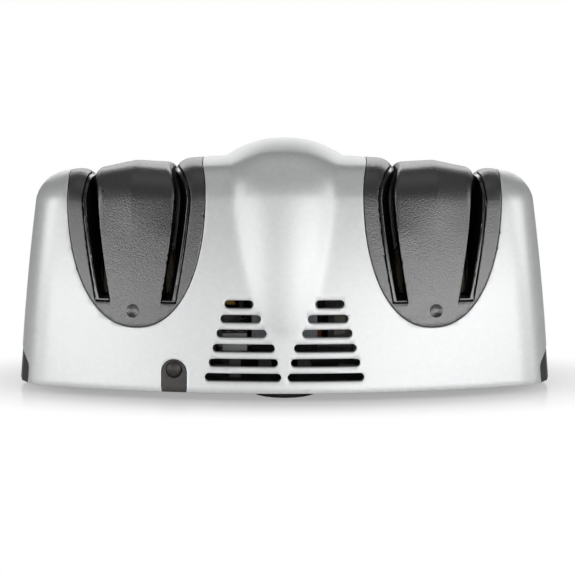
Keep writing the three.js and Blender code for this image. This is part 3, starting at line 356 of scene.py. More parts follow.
def body_skin(name, inset, dome=False):
    """The body's form moved in by an inset, as a skin that is open underneath."""
    points = skin_points(inset)
    made = grid_from(name, raise_dome(points) if dome else points)
    edit(made)
    bpy.ops.mesh.select_all(action="SELECT")
    bpy.ops.mesh.remove_doubles(threshold=SEAM_MERGE * MM)
    leave()
    return made


def body_block(name, inset, below=0.0):
    """The same form as a solid, run straight on below its bottom edge if asked."""
    made = body_skin(name, inset)
    edit(made)
    bpy.ops.mesh.select_non_manifold()
    if below:
        bpy.ops.mesh.extrude_region_move(
            TRANSFORM_OT_translate={"value": (0, 0, -below * MM)})
    bpy.ops.mesh.edge_face_add()
    bpy.ops.mesh.select_all(action="SELECT")
    bpy.ops.mesh.normals_make_consistent(inside=False)
    leave()
    return made


def boolean(piece, tool, how="DIFFERENCE"):
    """Cuts or joins with another solid, and removes the tool."""
    step = piece.modifiers.new("step", "BOOLEAN")
    step.object = tool
    step.operation = how
    step.solver = "EXACT"
    step.material_mode = "TRANSFER"
    bpy.context.view_layer.objects.active = piece
    bpy.ops.object.select_all(action="DESELECT")
    piece.select_set(True)
    bpy.ops.object.modifier_apply(modifier=step.name)
    bpy.data.objects.remove(tool)
    return piece


def join(first, *others):
    """Makes one object of several."""
    bpy.ops.object.select_all(action="DESELECT")
    for other in (first, *others):
        other.select_set(True)
    bpy.context.view_layer.objects.active = first
    bpy.ops.object.join()
    return first


def prism(name, outline, start, end, axis="Y"):
    """A flat outline as a face, extruded in a straight line along X or Y."""
    mesh = bpy.data.meshes.new(name)
    shape = bmesh.new()
    if axis == "Y":
        corners = [(a * MM, start * MM, b * MM) for a, b in outline]
    else:
        corners = [(start * MM, a * MM, b * MM) for a, b in outline]
    shape.faces.new([shape.verts.new(corner) for corner in corners])
    shape.to_mesh(mesh)
    shape.free()
    made = bpy.data.objects.new(name, mesh)
    scene.collection.objects.link(made)
    edit(made)
    bpy.ops.mesh.select_all(action="SELECT")
    run = (end - start) * MM
    way = (0, run, 0) if axis == "Y" else (run, 0, 0)
    bpy.ops.mesh.extrude_region_move(TRANSFORM_OT_translate={"value": way})
    bpy.ops.mesh.select_all(action="SELECT")
    bpy.ops.mesh.normals_make_consistent(inside=False)
    leave()
    return made


def arc(cx, cy, rx, ry, start, end, steps):
    """Points of an ellipse's arc, with its ends in degrees."""
    return [(cx + rx * math.cos(a), cy + ry * math.sin(a))
            for a in np.linspace(math.radians(start), math.radians(end), steps + 1)]


SADDLE_PLACE = 67.0
SADDLE_HALF_WIDTH = 31.4
SADDLE_SHOULDER = 92.0
SADDLE_TIP = 32.0
SADDLE_FULLNESS_POWER = 2.2
SADDLE_TAPER = 2.6
TAPER_STEPS = 8
OUTLINE_STEPS = 72


def saddle_side(centre, half, side):
    """One side of the outline, upwards: it tapers on the side of the dome."""
    taper = SADDLE_TAPER if side * centre < 0 else 0.0
    points = []
    for height in np.linspace(SADDLE_SHOULDER, TOP_HEIGHT + OVERRUN, TAPER_STEPS + 1)[1:]:
        share = min((height - SADDLE_SHOULDER) / (TOP_HEIGHT - SADDLE_SHOULDER), 1)
        points.append((centre + side * (half - taper * share ** 2), height))
    return points


def saddle_outline(centre, grow):
    """The saddle as seen square to the face: two sides over a full, rounded tip."""
    half, drop = SADDLE_HALF_WIDTH + grow, SADDLE_SHOULDER - SADDLE_TIP + grow
    points = saddle_side(centre, half, 1) + saddle_side(centre, half, -1)[::-1]
    for angle in np.linspace(0, math.pi, OUTLINE_STEPS + 1):
        x = abs(math.cos(angle)) ** (2 / SADDLE_FULLNESS_POWER) * np.sign(math.cos(angle))
        z = math.sin(angle) ** (2 / SADDLE_FULLNESS_POWER) if 0 < angle < math.pi else 0.0
        points.append((centre - half * x, SADDLE_SHOULDER - drop * z))
    return points


VENT_HEIGHT = 3.6
VENT_PITCH = 6.48
VENT_LOWEST = 10.5
VENT_SPAN = 35.6
VENT_TOP_SPAN = 26.8
VENT_INNER_SHARES = (0.04, 0.081, 0.121, 0.222, 0.293, 0.388)
VENT_END_STEPS = 10
VENT_CUT_END = 24.0


def vent_outline(row, side):
    """One rounded slot, with round ends of half its height."""
    height = VENT_LOWEST + row * VENT_PITCH
    near = VENT_INNER_SHARES[row] * VENT_SPAN
    far = VENT_SPAN + (VENT_TOP_SPAN - VENT_SPAN) * row / (len(VENT_INNER_SHARES) - 1)
    half = VENT_HEIGHT / 2
    left, right = sorted((side * near, side * far))
    return arc(right - half, height, half, half, -90, 90, VENT_END_STEPS) \
        + arc(left + half, height, half, half, 90, 270, VENT_END_STEPS)


def arch_outline(centre, half, bottom, top, steps=20):
    """An upright outline with a round top."""
    return [(centre - half, bottom), (centre + half, bottom)] \
        + arc(centre, top - half, half, half, 0, 180, steps)


GLAND_PLACE = -49.5
GLAND_HALF_WIDTH = 5.5
GLAND_TOP = BODY_BOTTOM + 14.4
GLAND_GAP = 0.25
GRIP_HALF_WIDTH = 24.0
GRIP_TOP = BODY_BOTTOM + 14.2
GRIP_CORNER_WIDTH = 16.0
GRIP_CORNER_HEIGHT = 8.0
GRIP_THICKNESS = 1.6
GRIP_STEPS = 16
ACROSS = BODY_HALF_DEPTH + OVERRUN


def grip_outline(grow):
    """The arched outline of an end grip, run on below the body."""
    half, top = GRIP_HALF_WIDTH + grow, GRIP_TOP + grow
    wide, tall = GRIP_CORNER_WIDTH, GRIP_CORNER_HEIGHT
    return [(-half, BODY_BOTTOM - OVERRUN), (half, BODY_BOTTOM - OVERRUN)] \
        + arc(half - wide, top - tall, wide, tall, 0, 90, GRIP_STEPS) \
        + arc(wide - half, top - tall, wide, tall, 90, 180, GRIP_STEPS)


def grip_blank(side, grow):
    """A block of the grip's outline that reaches in through the end wall."""
    start, end = sorted((side * (BODY_HALF_WIDTH - GRIP_CORNER_WIDTH),
                         side * (BODY_HALF_WIDTH + OVERRUN)))
    return prism("grip_blank", grip_outline(grow), start, end, "X")


def face_depth(x, height):
    """Depth of the body's face at a place along X and a height."""
    wall_top = top_at(0, WALL_TOP_HALF_DEPTH) - SHOULDER * (1 - math.sin(SHOULDER_START))
    share = np.minimum((height - BODY_BOTTOM) / (wall_top - BODY_BOTTOM), 1)
    depth = BODY_HALF_DEPTH + (WALL_TOP_HALF_DEPTH - BODY_HALF_DEPTH) * share
    edge = BODY_HALF_WIDTH + (WALL_TOP_HALF_WIDTH - BODY_HALF_WIDTH) * share - END_BOW
    bow = FACE_BOW + (TOP_FACE_BOW - FACE_BOW) * share
    return depth + belly(share) - eased(share) - bow * (x / edge) ** 2


SWITCH_HEIGHT = 18.8
SWITCH_RECESS = 1.6
SWITCH_HALF_WIDTH = 11.0
SWITCH_HALF_HEIGHT = 6.4
SWITCH_RIM = 1.5
SWITCH_DEPTH = 13.0
SWITCH_CORNER = 0.6
SEAT_CORNER = 1.5


def on_switch(piece):
    """Moves a piece made about the origin into the switch's recess, square to the slope."""
    place = Vector((0, face_depth(0, SWITCH_HEIGHT) - SWITCH_RECESS * math.cos(LEAN),
                    SWITCH_HEIGHT - SWITCH_RECESS * math.sin(LEAN))) * MM
    turn = piece.matrix_world.Rotation(LEAN, 4, "X")
    turn.translation = place
    piece.data.transform(turn)
    return piece


def rounded(half_width, half_height, corner, steps=6):
    """A rectangle with rounded corners, about the origin."""
    w, h = half_width - corner, half_height - corner
    centres = ((w, h), (-w, h), (-w, -h), (w, -h))
    return [point for turn, (x, y) in enumerate(centres)
            for point in arc(x, y, corner, corner, turn * 90, turn * 90 + 90, steps)]


SMOOTH_ANGLE = 32


def soften(piece, width, angle, merge, segments=2):
    """Rounds the sharp edges a little, as a mould does. Where the rounding runs into
    itself at a tight corner, its points go back to the sharp shape."""
    edit(piece)
    bpy.ops.mesh.select_mode(type="EDGE")
    bpy.ops.mesh.edges_select_sharp(sharpness=math.radians(angle))
    bpy.ops.mesh.select_mode(type="VERT")
    bpy.ops.mesh.select_more()
    bpy.ops.mesh.remove_doubles(threshold=merge * MM)
    leave()
    shape = bmesh.new()
    shape.from_mesh(piece.data)
    sharp = BVHTree.FromBMesh(shape)
    shape.free()
    step = piece.modifiers.new("edge", "BEVEL")
    step.width = width * MM
    step.segments = segments
    step.limit_method = "ANGLE"
    step.angle_limit = math.radians(angle)
    step.use_clamp_overlap = False
    bpy.context.view_layer.objects.active = piece
    bpy.ops.object.select_all(action="DESELECT")
    piece.select_set(True)
    bpy.ops.object.modifier_apply(modifier=step.name)
    for vertex in piece.data.vertices:
        nearest, _, _, distance = sharp.find_nearest(vertex.co)
        if distance > width * MM / 2:
            vertex.co = nearest
    bpy.ops.object.shade_smooth_by_angle(angle=math.radians(SMOOTH_ANGLE))
    return piece


def finish_piece(piece, name, body, slot, material, *nodes):
    """Names a piece, gives its bare slots the material, ties it to its body and hides the
    parts that it stands for.
    """
    piece.name = name
    piece.data.name = name
    own = piece.data.materials
    if not own:
        own.append(material)
    for i, kept in enumerate(list(own)):
        if kept is None:
            own[i] = material
    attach(piece, body)
    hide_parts(*nodes)


PLATE_TOP = 7.6
BOSS_PLACE = 112.0
BOSS_SPREAD = 14.0
BOSS_RADIUS = 4.0
BOSS_HEIGHT = 30.0
BOSS_RIB = 1.8
PILOT_RADIUS = 2.3
PILOT_END = 21.9
PILOT_SIDES = 24


def cylinder(name, radius, axis, across, start, end, sides=48):
    """A cylinder from start to end along an axis, at its place on the two other axes."""
    place, turn = {
        "X": (((start + end) / 2, across[0], across[1]), (0, math.pi / 2, 0)),
        "Y": ((across[0], (start + end) / 2, across[1]), (math.pi / 2, 0, 0)),
        "Z": ((across[0], across[1], (start + end) / 2), (0, 0, 0))}[axis]
    bpy.ops.object.select_all(action="DESELECT")
    bpy.ops.mesh.primitive_cylinder_add(
        vertices=sides, radius=radius * MM, depth=(end - start) * MM,
        location=[c * MM for c in place], rotation=turn)
    made = bpy.context.object
    bpy.ops.object.transform_apply()
    made.name = name
    return made


def bosses():
    """The four screw bosses, each tied to the end wall by a rib."""
    made = []
    for side in (-1, 1):
        for face in (-1, 1):
            x, y = side * BOSS_PLACE, face * BOSS_SPREAD
            column = cylinder("boss", BOSS_RADIUS, "Z", (x, y), PLATE_TOP + FIT, BOSS_HEIGHT)
            rib = [(y - BOSS_RIB / 2, PLATE_TOP + FIT), (y + BOSS_RIB / 2, PLATE_TOP + FIT),
                   (y + BOSS_RIB / 2, BOSS_HEIGHT), (y - BOSS_RIB / 2, BOSS_HEIGHT)]
            start, end = sorted((x, side * BODY_HALF_WIDTH))
            made.append(boolean(column, prism("rib", rib, start, end, "X"), "UNION"))
    return boolean(join(*made), body_block("inside", WALL / 2), "INTERSECT")


lining = body_skin("lining", WALL, dome=True)
edit(lining)
bpy.ops.mesh.select_all(action="SELECT")
bpy.ops.mesh.flip_normals()
leave()
shell = join(body_skin("shell", 0, dome=True), lining)
edit(shell)
bpy.ops.mesh.select_non_manifold()
bpy.ops.mesh.bridge_edge_loops()
bpy.ops.mesh.select_all(action="SELECT")
bpy.ops.mesh.normals_make_consistent(inside=False)
leave()

seat_rim = SWITCH_RIM + WALL
seat = on_switch(prism("seat", rounded(
    SWITCH_HALF_WIDTH + seat_rim, SWITCH_HALF_HEIGHT + seat_rim, SEAT_CORNER),
    -WALL, OVERRUN))
boolean(shell, boolean(seat, body_block("inside", WALL / 2), "INTERSECT"), "UNION")
openings = []
for side in (-1, 1):
    openings.append(prism("saddle_cut", saddle_outline(side * SADDLE_PLACE, FIT),
                          -ACROSS, ACROSS))
    recess = grip_blank(side, FIT)
    openings.append(boolean(recess, body_block("inside", GRIP_THICKNESS, below=OVERRUN)))
    for row in range(len(VENT_INNER_SHARES)):
        openings.append(prism("vent", vent_outline(row, side), -ACROSS, -VENT_CUT_END))
openings.append(prism("gland_cut", arch_outline(
    GLAND_PLACE, GLAND_HALF_WIDTH + GLAND_GAP, BODY_BOTTOM - OVERRUN, GLAND_TOP + GLAND_GAP),
    -ACROSS, -BODY_HALF_DEPTH / 2))
boolean(shell, join(*openings))
hole_rim = SWITCH_RIM + FIT
boolean(shell, on_switch(prism("switch_hole", rounded(
    SWITCH_HALF_WIDTH + FIT, SWITCH_HALF_HEIGHT + FIT, SWITCH_CORNER),
    -SWITCH_DEPTH, OVERRUN)))
boolean(shell, on_switch(prism("switch_rim", rounded(
    SWITCH_HALF_WIDTH + hole_rim, SWITCH_HALF_HEIGHT + hole_rim, SWITCH_RIM), 0, OVERRUN)))
boolean(shell, bosses(), "UNION")
boolean(shell, join(*[
    cylinder("pilot", PILOT_RADIUS, "Z", (side * BOSS_PLACE, face * BOSS_SPREAD),
             BODY_BOTTOM, PILOT_END, PILOT_SIDES) for side in (-1, 1) for face in (-1, 1)]))
soften(shell, width=0.35, angle=38, merge=0.3)

RELIEF_STRENGTH = 0.6


def surface(name, low, high, grain, rough, bump=0.02, metallic=0.0, stretch=(1, 1, 1),
            detail=3.0, ior=1.5, specular=0.5):
    """A material whose colour, gloss and relief follow one noise of a real grain size:
    grain and bump are in millimetres, and rough is the range of the roughness."""
    made = bpy.data.materials.new(name)
    made.use_nodes = True
    shader = made.node_tree.nodes["Principled BSDF"]
    shader.inputs["Metallic"].default_value = metallic
    shader.inputs["IOR"].default_value = ior
    shader.inputs["Specular IOR Level"].default_value = specular
    place = add_node(made, "ShaderNodeTexCoord")
    spread = add_node(made, "ShaderNodeMapping",
                      {"Vector": place.outputs["Object"], "Scale": stretch})
    noise = add_node(made, "ShaderNodeTexNoise",
                     {"Vector": spread.outputs["Vector"], "Scale": 1 / (grain * MM),
                      "Detail": detail})
    tint = add_node(made, "ShaderNodeMix",
                    {0: noise.outputs["Fac"], 6: linear(low), 7: linear(high)},
                    data_type="RGBA")
    gloss = add_node(made, "ShaderNodeMapRange",
                     {"Value": noise.outputs["Fac"], "To Min": rough[0], "To Max": rough[1]})
    relief = add_node(made, "ShaderNodeBump",
                      {"Height": noise.outputs["Fac"], "Strength": RELIEF_STRENGTH,
                      "Distance": bump * MM})
    for output, socket in ((tint.outputs[2], "Base Color"),
                           (gloss.outputs["Result"], "Roughness"),
                           (relief.outputs["Normal"], "Normal")):
        made.node_tree.links.new(output, shader.inputs[socket])
    return made


# Silver paint: aluminium flake in a satin lacquer, sprayed over the moulding. The spray
# leaves a faint orange-peel ripple, about 2 mm from crest to crest.
silver_paint = surface("silver_paint", "#cccecf", "#dcdddd", grain=2.2, rough=(0.36, 0.44),
                       bump=0.012, metallic=0.45)
finish_piece(shell, "housing_shell", "housing", "silver_paint", silver_paint, "upper_housing")


# Guide saddles: one moulded ABS piece over each pair of discs, with a spark-eroded
# texture that takes the shine off. Each bends round two blade slots, and its middle
# block stands a little proud, with a ridge along its crown.
SLOT_WIDTH = 6.0
SLOT_NECK = 1.4
SLOT_BOW_OUTER = 2.1
SLOT_BOW_INNER = 3.0
BOW_START = 84.0
BOW_RUN = 14.0
SLOT_TOP_PLACE = 20.7
SLOT_FOOT_PLACE = 14.117
SLOT_FOOT_WIDTH = 5.4
SLOT_BEND_START = 97.0
SLOT_BEND_CONTROL = 79.0
SLOT_FOOT = 44.3
SLOT_STEPS = 24
WAIST_STEPS = 28
LINER_THICKNESS = 1.4
LINER_FLOOR = 1.2
SHAFT_HEIGHT = 42.0
POCKET_RADIUS = 23.0
POCKET_REACH = 19.5
POCKET_SIDES = 64
HOLLOW_HALF_DEPTH = 24.0
HOLLOW_TOP = 92.0
SADDLE_WALL = 2.6
SHAFT_NOTCH = 5.2
RIDGE_SHIFT = 2.0
RIDGE_RISE = 0.9
RIDGE_SLOPE_INNER = 0.155
RIDGE_SLOPE_OUTER = 0.115
RIDGE_END = 74.0
RIDGE_RISE_POWER = 0.6
BLOCK_HALF_WIDTH = SLOT_TOP_PLACE - SLOT_WIDTH / 2
BLOCK_ROUND = 2.4
STRIP_ROUND_INNER = 9.0
STRIP_ROUND_OUTER = 10.0
STRIP_FALL_INNER = 4.6
STRIP_FALL_OUTER = 3.6
STRIP_FALL_POWER = 3
SADDLE_COLUMNS = 128
SADDLE_MARGIN = 1.0
PASSAGE_STEPS = 16
END_TOLERANCE = 0.01


def bow_at(along, height, inner):
    """How far the block and both slots bow outwards over the crown, between the faces."""
    return np.where(inner, SLOT_BOW_INNER, SLOT_BOW_OUTER) * (1 - along ** 2) \
        * np.clip((height - BOW_START) / BOW_RUN, 0, 1) ** 2


def gap_at(width, along):
    """Width of a slot: full at its two mouths, with a narrow neck between them."""
    return width - (width - SLOT_NECK) * (1 - along ** 2)


def slot_room(name, side, edge, inner_gap, outer_gap, bottom):
    """The room of a blade slot from above the crown down to its foot, as a closed tube,
    widened by a gap on each side."""
    centre = side * SADDLE_PLACE
    bends = [(t * t, (1 - t) ** 2 * SLOT_BEND_START + 2 * t * (1 - t) * SLOT_BEND_CONTROL
              + t * t * bottom) for t in np.linspace(0, 1, SLOT_STEPS + 1)]
    shape = bmesh.new()
    rings = []
    for share, height in [(0.0, TOP_HEIGHT + OVERRUN)] + bends:
        place = SLOT_TOP_PLACE + (SLOT_FOOT_PLACE - SLOT_TOP_PLACE) * share
        width = SLOT_WIDTH + (SLOT_FOOT_WIDTH - SLOT_WIDTH) * share
        near, far = place - width / 2 - inner_gap, place + width / 2 + outer_gap
        mouth = face_depth(centre + edge * far, height)
        steps = np.sin(np.linspace(-math.pi / 2, math.pi / 2, WAIST_STEPS + 1))
        bows = edge * side * bow_at(steps, height, edge != side)
        walls = near + bows, far + bows - width + gap_at(width, steps)
        ring = [(near, -ACROSS), (far, -ACROSS)] + list(zip(walls[1], steps * mouth)) \
            + [(far, ACROSS), (near, ACROSS)] + list(zip(walls[0], steps * mouth))[::-1]
        rings.append([shape.verts.new(((centre + edge * x) * MM, y * MM, height * MM))
                      for x, y in ring])
    for upper, lower in zip(rings, rings[1:]):
        for i, corner in enumerate(upper):
            j = (i + 1) % len(upper)
            shape.faces.new((corner, upper[j], lower[j], lower[i]))
    shape.faces.new(rings[0])
    shape.faces.new(rings[-1])
    bmesh.ops.recalc_face_normals(shape, faces=shape.faces)
    mesh = bpy.data.meshes.new(name)
    shape.to_mesh(mesh)
    shape.free()
    made = bpy.data.objects.new(name, mesh)
    scene.collection.objects.link(made)
    return made


def section(x, inset):
    """The body's section at one place along X, from the -Y bottom edge to the +Y one."""
    front = []
    for outline, height in levels(inset):
        y = np.interp(abs(x), outline[:, 0], outline[:, 1])
        z = np.interp(abs(x), outline[:, 0], height)
        front.append((x, y, z))
    edge = front[-1][1]
    cap = [(x, -edge * share, top_at(x, edge * share) - inset)
           for share in np.linspace(-1, 1, TOP_STEPS + 1)[1:-1]]
    return np.array(front + cap + [(x, -y, z) for x, y, z in reversed(front)])


def saddle_block(name, side, inset):
    """The saddle's skin as a solid: the body's form with the gabled block between the
    slots, and strips that round down to the necks of the slots."""
    reach = SADDLE_HALF_WIDTH + SADDLE_MARGIN
    places = np.linspace(-reach, reach, SADDLE_COLUMNS + 1)
    points = np.stack([section(side * (SADDLE_PLACE + place), inset) for place in places],
                      axis=1)
    middle = section(side * SADDLE_PLACE, 0)
    crest = arc_shares(middle, RIDGE_END)[:, None] ** RIDGE_RISE_POWER
    depth = face_depth(SADDLE_PLACE + places, TOP_HEIGHT)
    along = np.clip(np.abs(points[:, :, 1]) / depth[None, :], 0, 1)
    slope = np.where(places < RIDGE_SHIFT, RIDGE_SLOPE_INNER, RIDGE_SLOPE_OUTER)
    gable = (RIDGE_RISE - slope * np.abs(places - RIDGE_SHIFT))[None, :]
    inner = places[None, :] < 0
    beyond = np.abs(places[None, :] - bow_at(along, points[:, :, 2], inner)) - BLOCK_HALF_WIDTH
    corner = np.clip(BLOCK_ROUND + beyond, 0, BLOCK_ROUND)
    corner = BLOCK_ROUND - np.sqrt(BLOCK_ROUND ** 2 - corner ** 2)
    near = 1 - (beyond - gap_at(SLOT_WIDTH, along)) \
        / np.where(inner, STRIP_ROUND_INNER, STRIP_ROUND_OUTER)
    fall = np.where(inner, STRIP_FALL_INNER, STRIP_FALL_OUTER) \
        * np.clip(near, 0, 1) ** STRIP_FALL_POWER
    lift = np.where(beyond < SLOT_NECK / 2, crest * (gable - corner), (along ** 2 - 1) * fall)
    points = points + outward(middle)[:, None, :] * lift[:, :, None]
    made = grid_from(name, points)
    for end in (points[0, 0, 0], points[0, -1, 0]):
        edit(made)
        leave()
        for vertex in made.data.vertices:
            vertex.select = abs(vertex.co.x - end * MM) < END_TOLERANCE * MM
        bpy.ops.object.mode_set(mode="EDIT")
        bpy.ops.mesh.edge_face_add()
        leave()
    edit(made)
    bpy.ops.mesh.select_non_manifold()
    bpy.ops.mesh.edge_face_add()
    bpy.ops.mesh.select_all(action="SELECT")
    bpy.ops.mesh.normals_make_consistent(inside=False)
    leave()
    return made


def disc_pocket(centre):
    """The room of a pair of discs, about the shaft's line."""
    return cylinder("pocket", POCKET_RADIUS, "X", (0, SHAFT_HEIGHT),
                    centre - POCKET_REACH, centre + POCKET_REACH, POCKET_SIDES)


def shaft_passage(centre):
    """A passage for the shaft, open below so that the saddle goes over it."""
    outline = [(-SHAFT_NOTCH, BODY_BOTTOM - OVERRUN), (SHAFT_NOTCH, BODY_BOTTOM - OVERRUN)] \
        + arc(0, SHAFT_HEIGHT, SHAFT_NOTCH, SHAFT_NOTCH, 0, 180, PASSAGE_STEPS)
    return prism("passage", outline, centre - SADDLE_HALF_WIDTH - OVERRUN,
                 centre + SADDLE_HALF_WIDTH + OVERRUN, "X")


def block_hollow(centre):
    """The hollow of the block between the slots."""
    top = BLOCK_HALF_WIDTH - SADDLE_WALL
    foot = SLOT_FOOT_PLACE - SLOT_FOOT_WIDTH / 2 - SADDLE_WALL
    outline = [(centre - top, HOLLOW_TOP), (centre - top, SLOT_BEND_CONTROL),
               (centre - foot, SLOT_FOOT), (centre - foot, BODY_BOTTOM),
               (centre + foot, BODY_BOTTOM), (centre + foot, SLOT_FOOT),
               (centre + top, SLOT_BEND_CONTROL), (centre + top, HOLLOW_TOP)]
    return prism("hollow", outline, -HOLLOW_HALF_DEPTH, HOLLOW_HALF_DEPTH)


DIMPLE_HEIGHT = 39.6
DIMPLE_BALL = 5.0
DIMPLE_DEPTH = 1.05


def ball(radius, place, segments, rings):
    """A sphere at a place."""
    bpy.ops.object.select_all(action="DESELECT")
    bpy.ops.mesh.primitive_uv_sphere_add(
        segments=segments, ring_count=rings, radius=radius * MM,
        location=[c * MM for c in place])
    made = bpy.context.object
    bpy.ops.object.transform_apply()
    return made


def dimple(side, face):
    """A shallow round mark low on the saddle's face, under the ridge."""
    place = SADDLE_PLACE + RIDGE_SHIFT
    depth = face_depth(place, DIMPLE_HEIGHT) + DIMPLE_BALL - DIMPLE_DEPTH
    return ball(DIMPLE_BALL, (side * place, face * depth, DIMPLE_HEIGHT),
                segments=64, rings=48)


# Spark-textured ABS: black plastic moulded against an eroded steel face, so the surface
# is an even fine grain that breaks every highlight up. The grain is drawn at 0.65 mm,
# coarser than the real one, so that it shows.
textured_abs = surface("spark_textured_abs", "#030303", "#1e1c1a", grain=0.65,
                       rough=(0.27, 0.43), bump=0.26, detail=2.0, ior=2.2)

# Inside the slots the moulding was never textured. Its black is drawn with very little
# reflection, a painted shade that keeps the slots as dark as the shade deep in them.
slot_shade_abs = surface("black_slot_abs_painted_shade", "#080808", "#0e0e0e", grain=2.0,
                   rough=(0.6, 0.7), specular=0.12)

for name, side in (("left", -1), ("right", 1)):
    centre = side * SADDLE_PLACE
    saddle = saddle_block("saddle", side, 0)
    saddle.data.materials.append(textured_abs)
    boolean(saddle, prism("outline", saddle_outline(centre, 0), -ACROSS, ACROSS), "INTERSECT")
    slots = [slot_room("slot", side, edge, 0, LINER_THICKNESS + FIT,
                       SLOT_FOOT - LINER_FLOOR - FIT) for edge in (-1, 1)]
    for slot in slots:
        slot.data.materials.append(slot_shade_abs)
    boolean(saddle, join(*slots))
    boolean(saddle, block_hollow(centre))
    boolean(saddle, disc_pocket(centre))
    boolean(saddle, shaft_passage(centre))
    boolean(saddle, join(dimple(side, -1), dimple(side, 1)))
    soften(saddle, width=0.3, angle=42, merge=0.3)
    finish_piece(saddle, "saddle_" + name, "housing", "textured_black_abs", textured_abs,
                 "guide_saddle_" + name)


# Slot liners: gloss black ABS strips, bent to the slots and moulded in polished steel, each
# pressed into the outer side of its slot. The blade's flat is drawn along it.
LINER_SINK = 0.25

# Polished ABS: the gloss of the steel it comes off, with a faint haze.
polished_abs = surface("polished_black_abs", "#0c0c0d", "#141415", grain=9.0,
                       rough=(0.14, 0.2), ior=1.8)

for name, side in (("left", -1), ("right", 1)):
    centre = side * SADDLE_PLACE
    for where, edge in (("inner", -side), ("outer", side)):
        liner = slot_room("liner", side, edge, -FIT, LINER_THICKNESS, SLOT_FOOT - LINER_FLOOR)
        boolean(liner, slot_room("slot", side, edge, 0, 0, SLOT_FOOT))
        boolean(liner, saddle_block("form", side, LINER_SINK), "INTERSECT")
        boolean(liner, disc_pocket(centre))
        boolean(liner, shaft_passage(centre))
        soften(liner, width=0.45, angle=42, merge=0.15, segments=3)
        finish_piece(liner, "liner_%s_%s" % (name, where), "housing", "gloss_black_abs",
                     polished_abs, "slot_liner_%s_%s" % (name, where))


# Cord gland: an arched insert of satin dark grey ABS, slid up into a notch of the shell
# from below, with a round hood where the cord comes out.
GLAND_SINK = 0.35
GLAND_PLATE = 4.3
HOOD_HEIGHT = 13.4
HOOD_RADIUS = 3.6
HOOD_GROOVE = 1.2
HOOD_LIFT = 0.32
HOOD_BALL = 5.0
HOOD_PROUD = 1.3
HOOD_EDGE = 3.3

gland = prism("gland", arch_outline(GLAND_PLACE, GLAND_HALF_WIDTH, BODY_BOTTOM, GLAND_TOP),
              -ACROSS, -BODY_HALF_DEPTH / 2)
boolean(gland, body_block("face", GLAND_SINK), "INTERSECT")
boolean(gland, body_block("behind", GLAND_PLATE, below=OVERRUN))
gland_face = GLAND_SINK - face_depth(GLAND_PLACE, HOOD_HEIGHT)
boolean(gland, cylinder("groove", HOOD_RADIUS, "Y", (GLAND_PLACE, HOOD_HEIGHT),
                        -ACROSS, gland_face + HOOD_GROOVE))
hood_place = (GLAND_PLACE, gland_face - HOOD_PROUD + HOOD_BALL, HOOD_HEIGHT + HOOD_LIFT)
hood = ball(HOOD_BALL, hood_place, segments=48, rings=32)
boolean(hood, cylinder("hood_edge", HOOD_EDGE, "Y", (GLAND_PLACE, HOOD_HEIGHT + HOOD_LIFT),
                       -ACROSS, gland_face + HOOD_GROOVE + FIT), "INTERSECT")
boolean(gland, hood, "UNION")
soften(gland, width=0.25, angle=40, merge=0.1)

# Satin ABS: dark grey, lightly blasted in the mould.
satin_abs = surface("satin_dark_grey_abs", "#2b2927", "#3c3936", grain=0.8,
                    rough=(0.36, 0.5), bump=0.03)
finish_piece(gland, "gland", "housing", "dark_grey_abs", satin_abs, "cord_gland")


# End grips and swarf covers: the same satin dark grey ABS as the gland. The grips are
# glued into recesses low in the end walls, and each cover slides in rails of the base.
def dress(material, *names):
    """Gives solids that stay in the scene their material."""
    for name in names:
        node = frame["nodes"][name]
        node.data.materials.clear()
        node.data.materials.append(material)


dress(satin_abs, "end_grip_left", "end_grip_right", "swarf_cover_left", "swarf_cover_right")

# Base plate: a plain black ABS moulding that closes the shell from below and carries the
# shaft's bearings. Off the tool it is even and a little dull.
plain_abs = surface("plain_black_abs", "#161617", "#202021", grain=1.6, rough=(0.42, 0.56))
dress(plain_abs, "base_plate")

# Feet: moulded rubber, pushed into seats of the base plate. Rubber dust and handling
# leave it matt and slightly uneven.
foot_rubber = surface("moulded_rubber", "#0e0e0e", "#1d1c1c", grain=0.6,
                      rough=(0.7, 0.92), bump=0.05)
dress(foot_rubber, "foot_rear", "foot_front_left", "foot_front_right")

# Housing screws: steel with bright zinc plating, which shows its crystals as light and
# dark patches a millimetre or two across. The motor brackets are left as rolled, with
# long, dull streaks.
zinc_plate = surface("zinc_plated_steel", "#9fa1a5", "#cdd0d3", grain=1.4,
                     rough=(0.22, 0.36), bump=0.01, metallic=1.0)
dress(zinc_plate, "housing_screw_1", "housing_screw_2", "housing_screw_3", "housing_screw_4")
rolled_steel = surface("rolled_steel", "#4c4b49", "#686664", grain=2.0, rough=(0.4, 0.55),
                       metallic=0.8, stretch=(1, 0.2, 1))
dress(rolled_steel, "motor_bracket_left", "motor_bracket_right")

# Motor: stator and armature are stacks of 0.5 mm steel sheets, varnished, so they are
# striped along the shaft. The coils are wound from 0.6 mm enamelled copper wire, drawn a
# dark brown, and the brush holders are pressed brass, dull with carbon dust.
laminations = surface("laminated_steel", "#3f4144", "#85878a", grain=0.5, rough=(0.3, 0.5),
                      bump=0.06, metallic=0.9, stretch=(1, 0.02, 0.02))
winding = surface("enamelled_copper_wire", "#1c0b06", "#4f2814", grain=0.6,
                  rough=(0.2, 0.34), bump=0.14, metallic=0.8, stretch=(0.04, 0.04, 1))
brush_brass = surface("pressed_brass", "#5f4a22", "#86703a", grain=1.8, rough=(0.35, 0.5),
                      bump=0.01, metallic=1.0)
dress(laminations, "stator_core", "armature_core")
dress(winding, "field_coil_upper", "field_coil_lower")
dress(brush_brass, "brush_holder_front", "brush_holder_back")

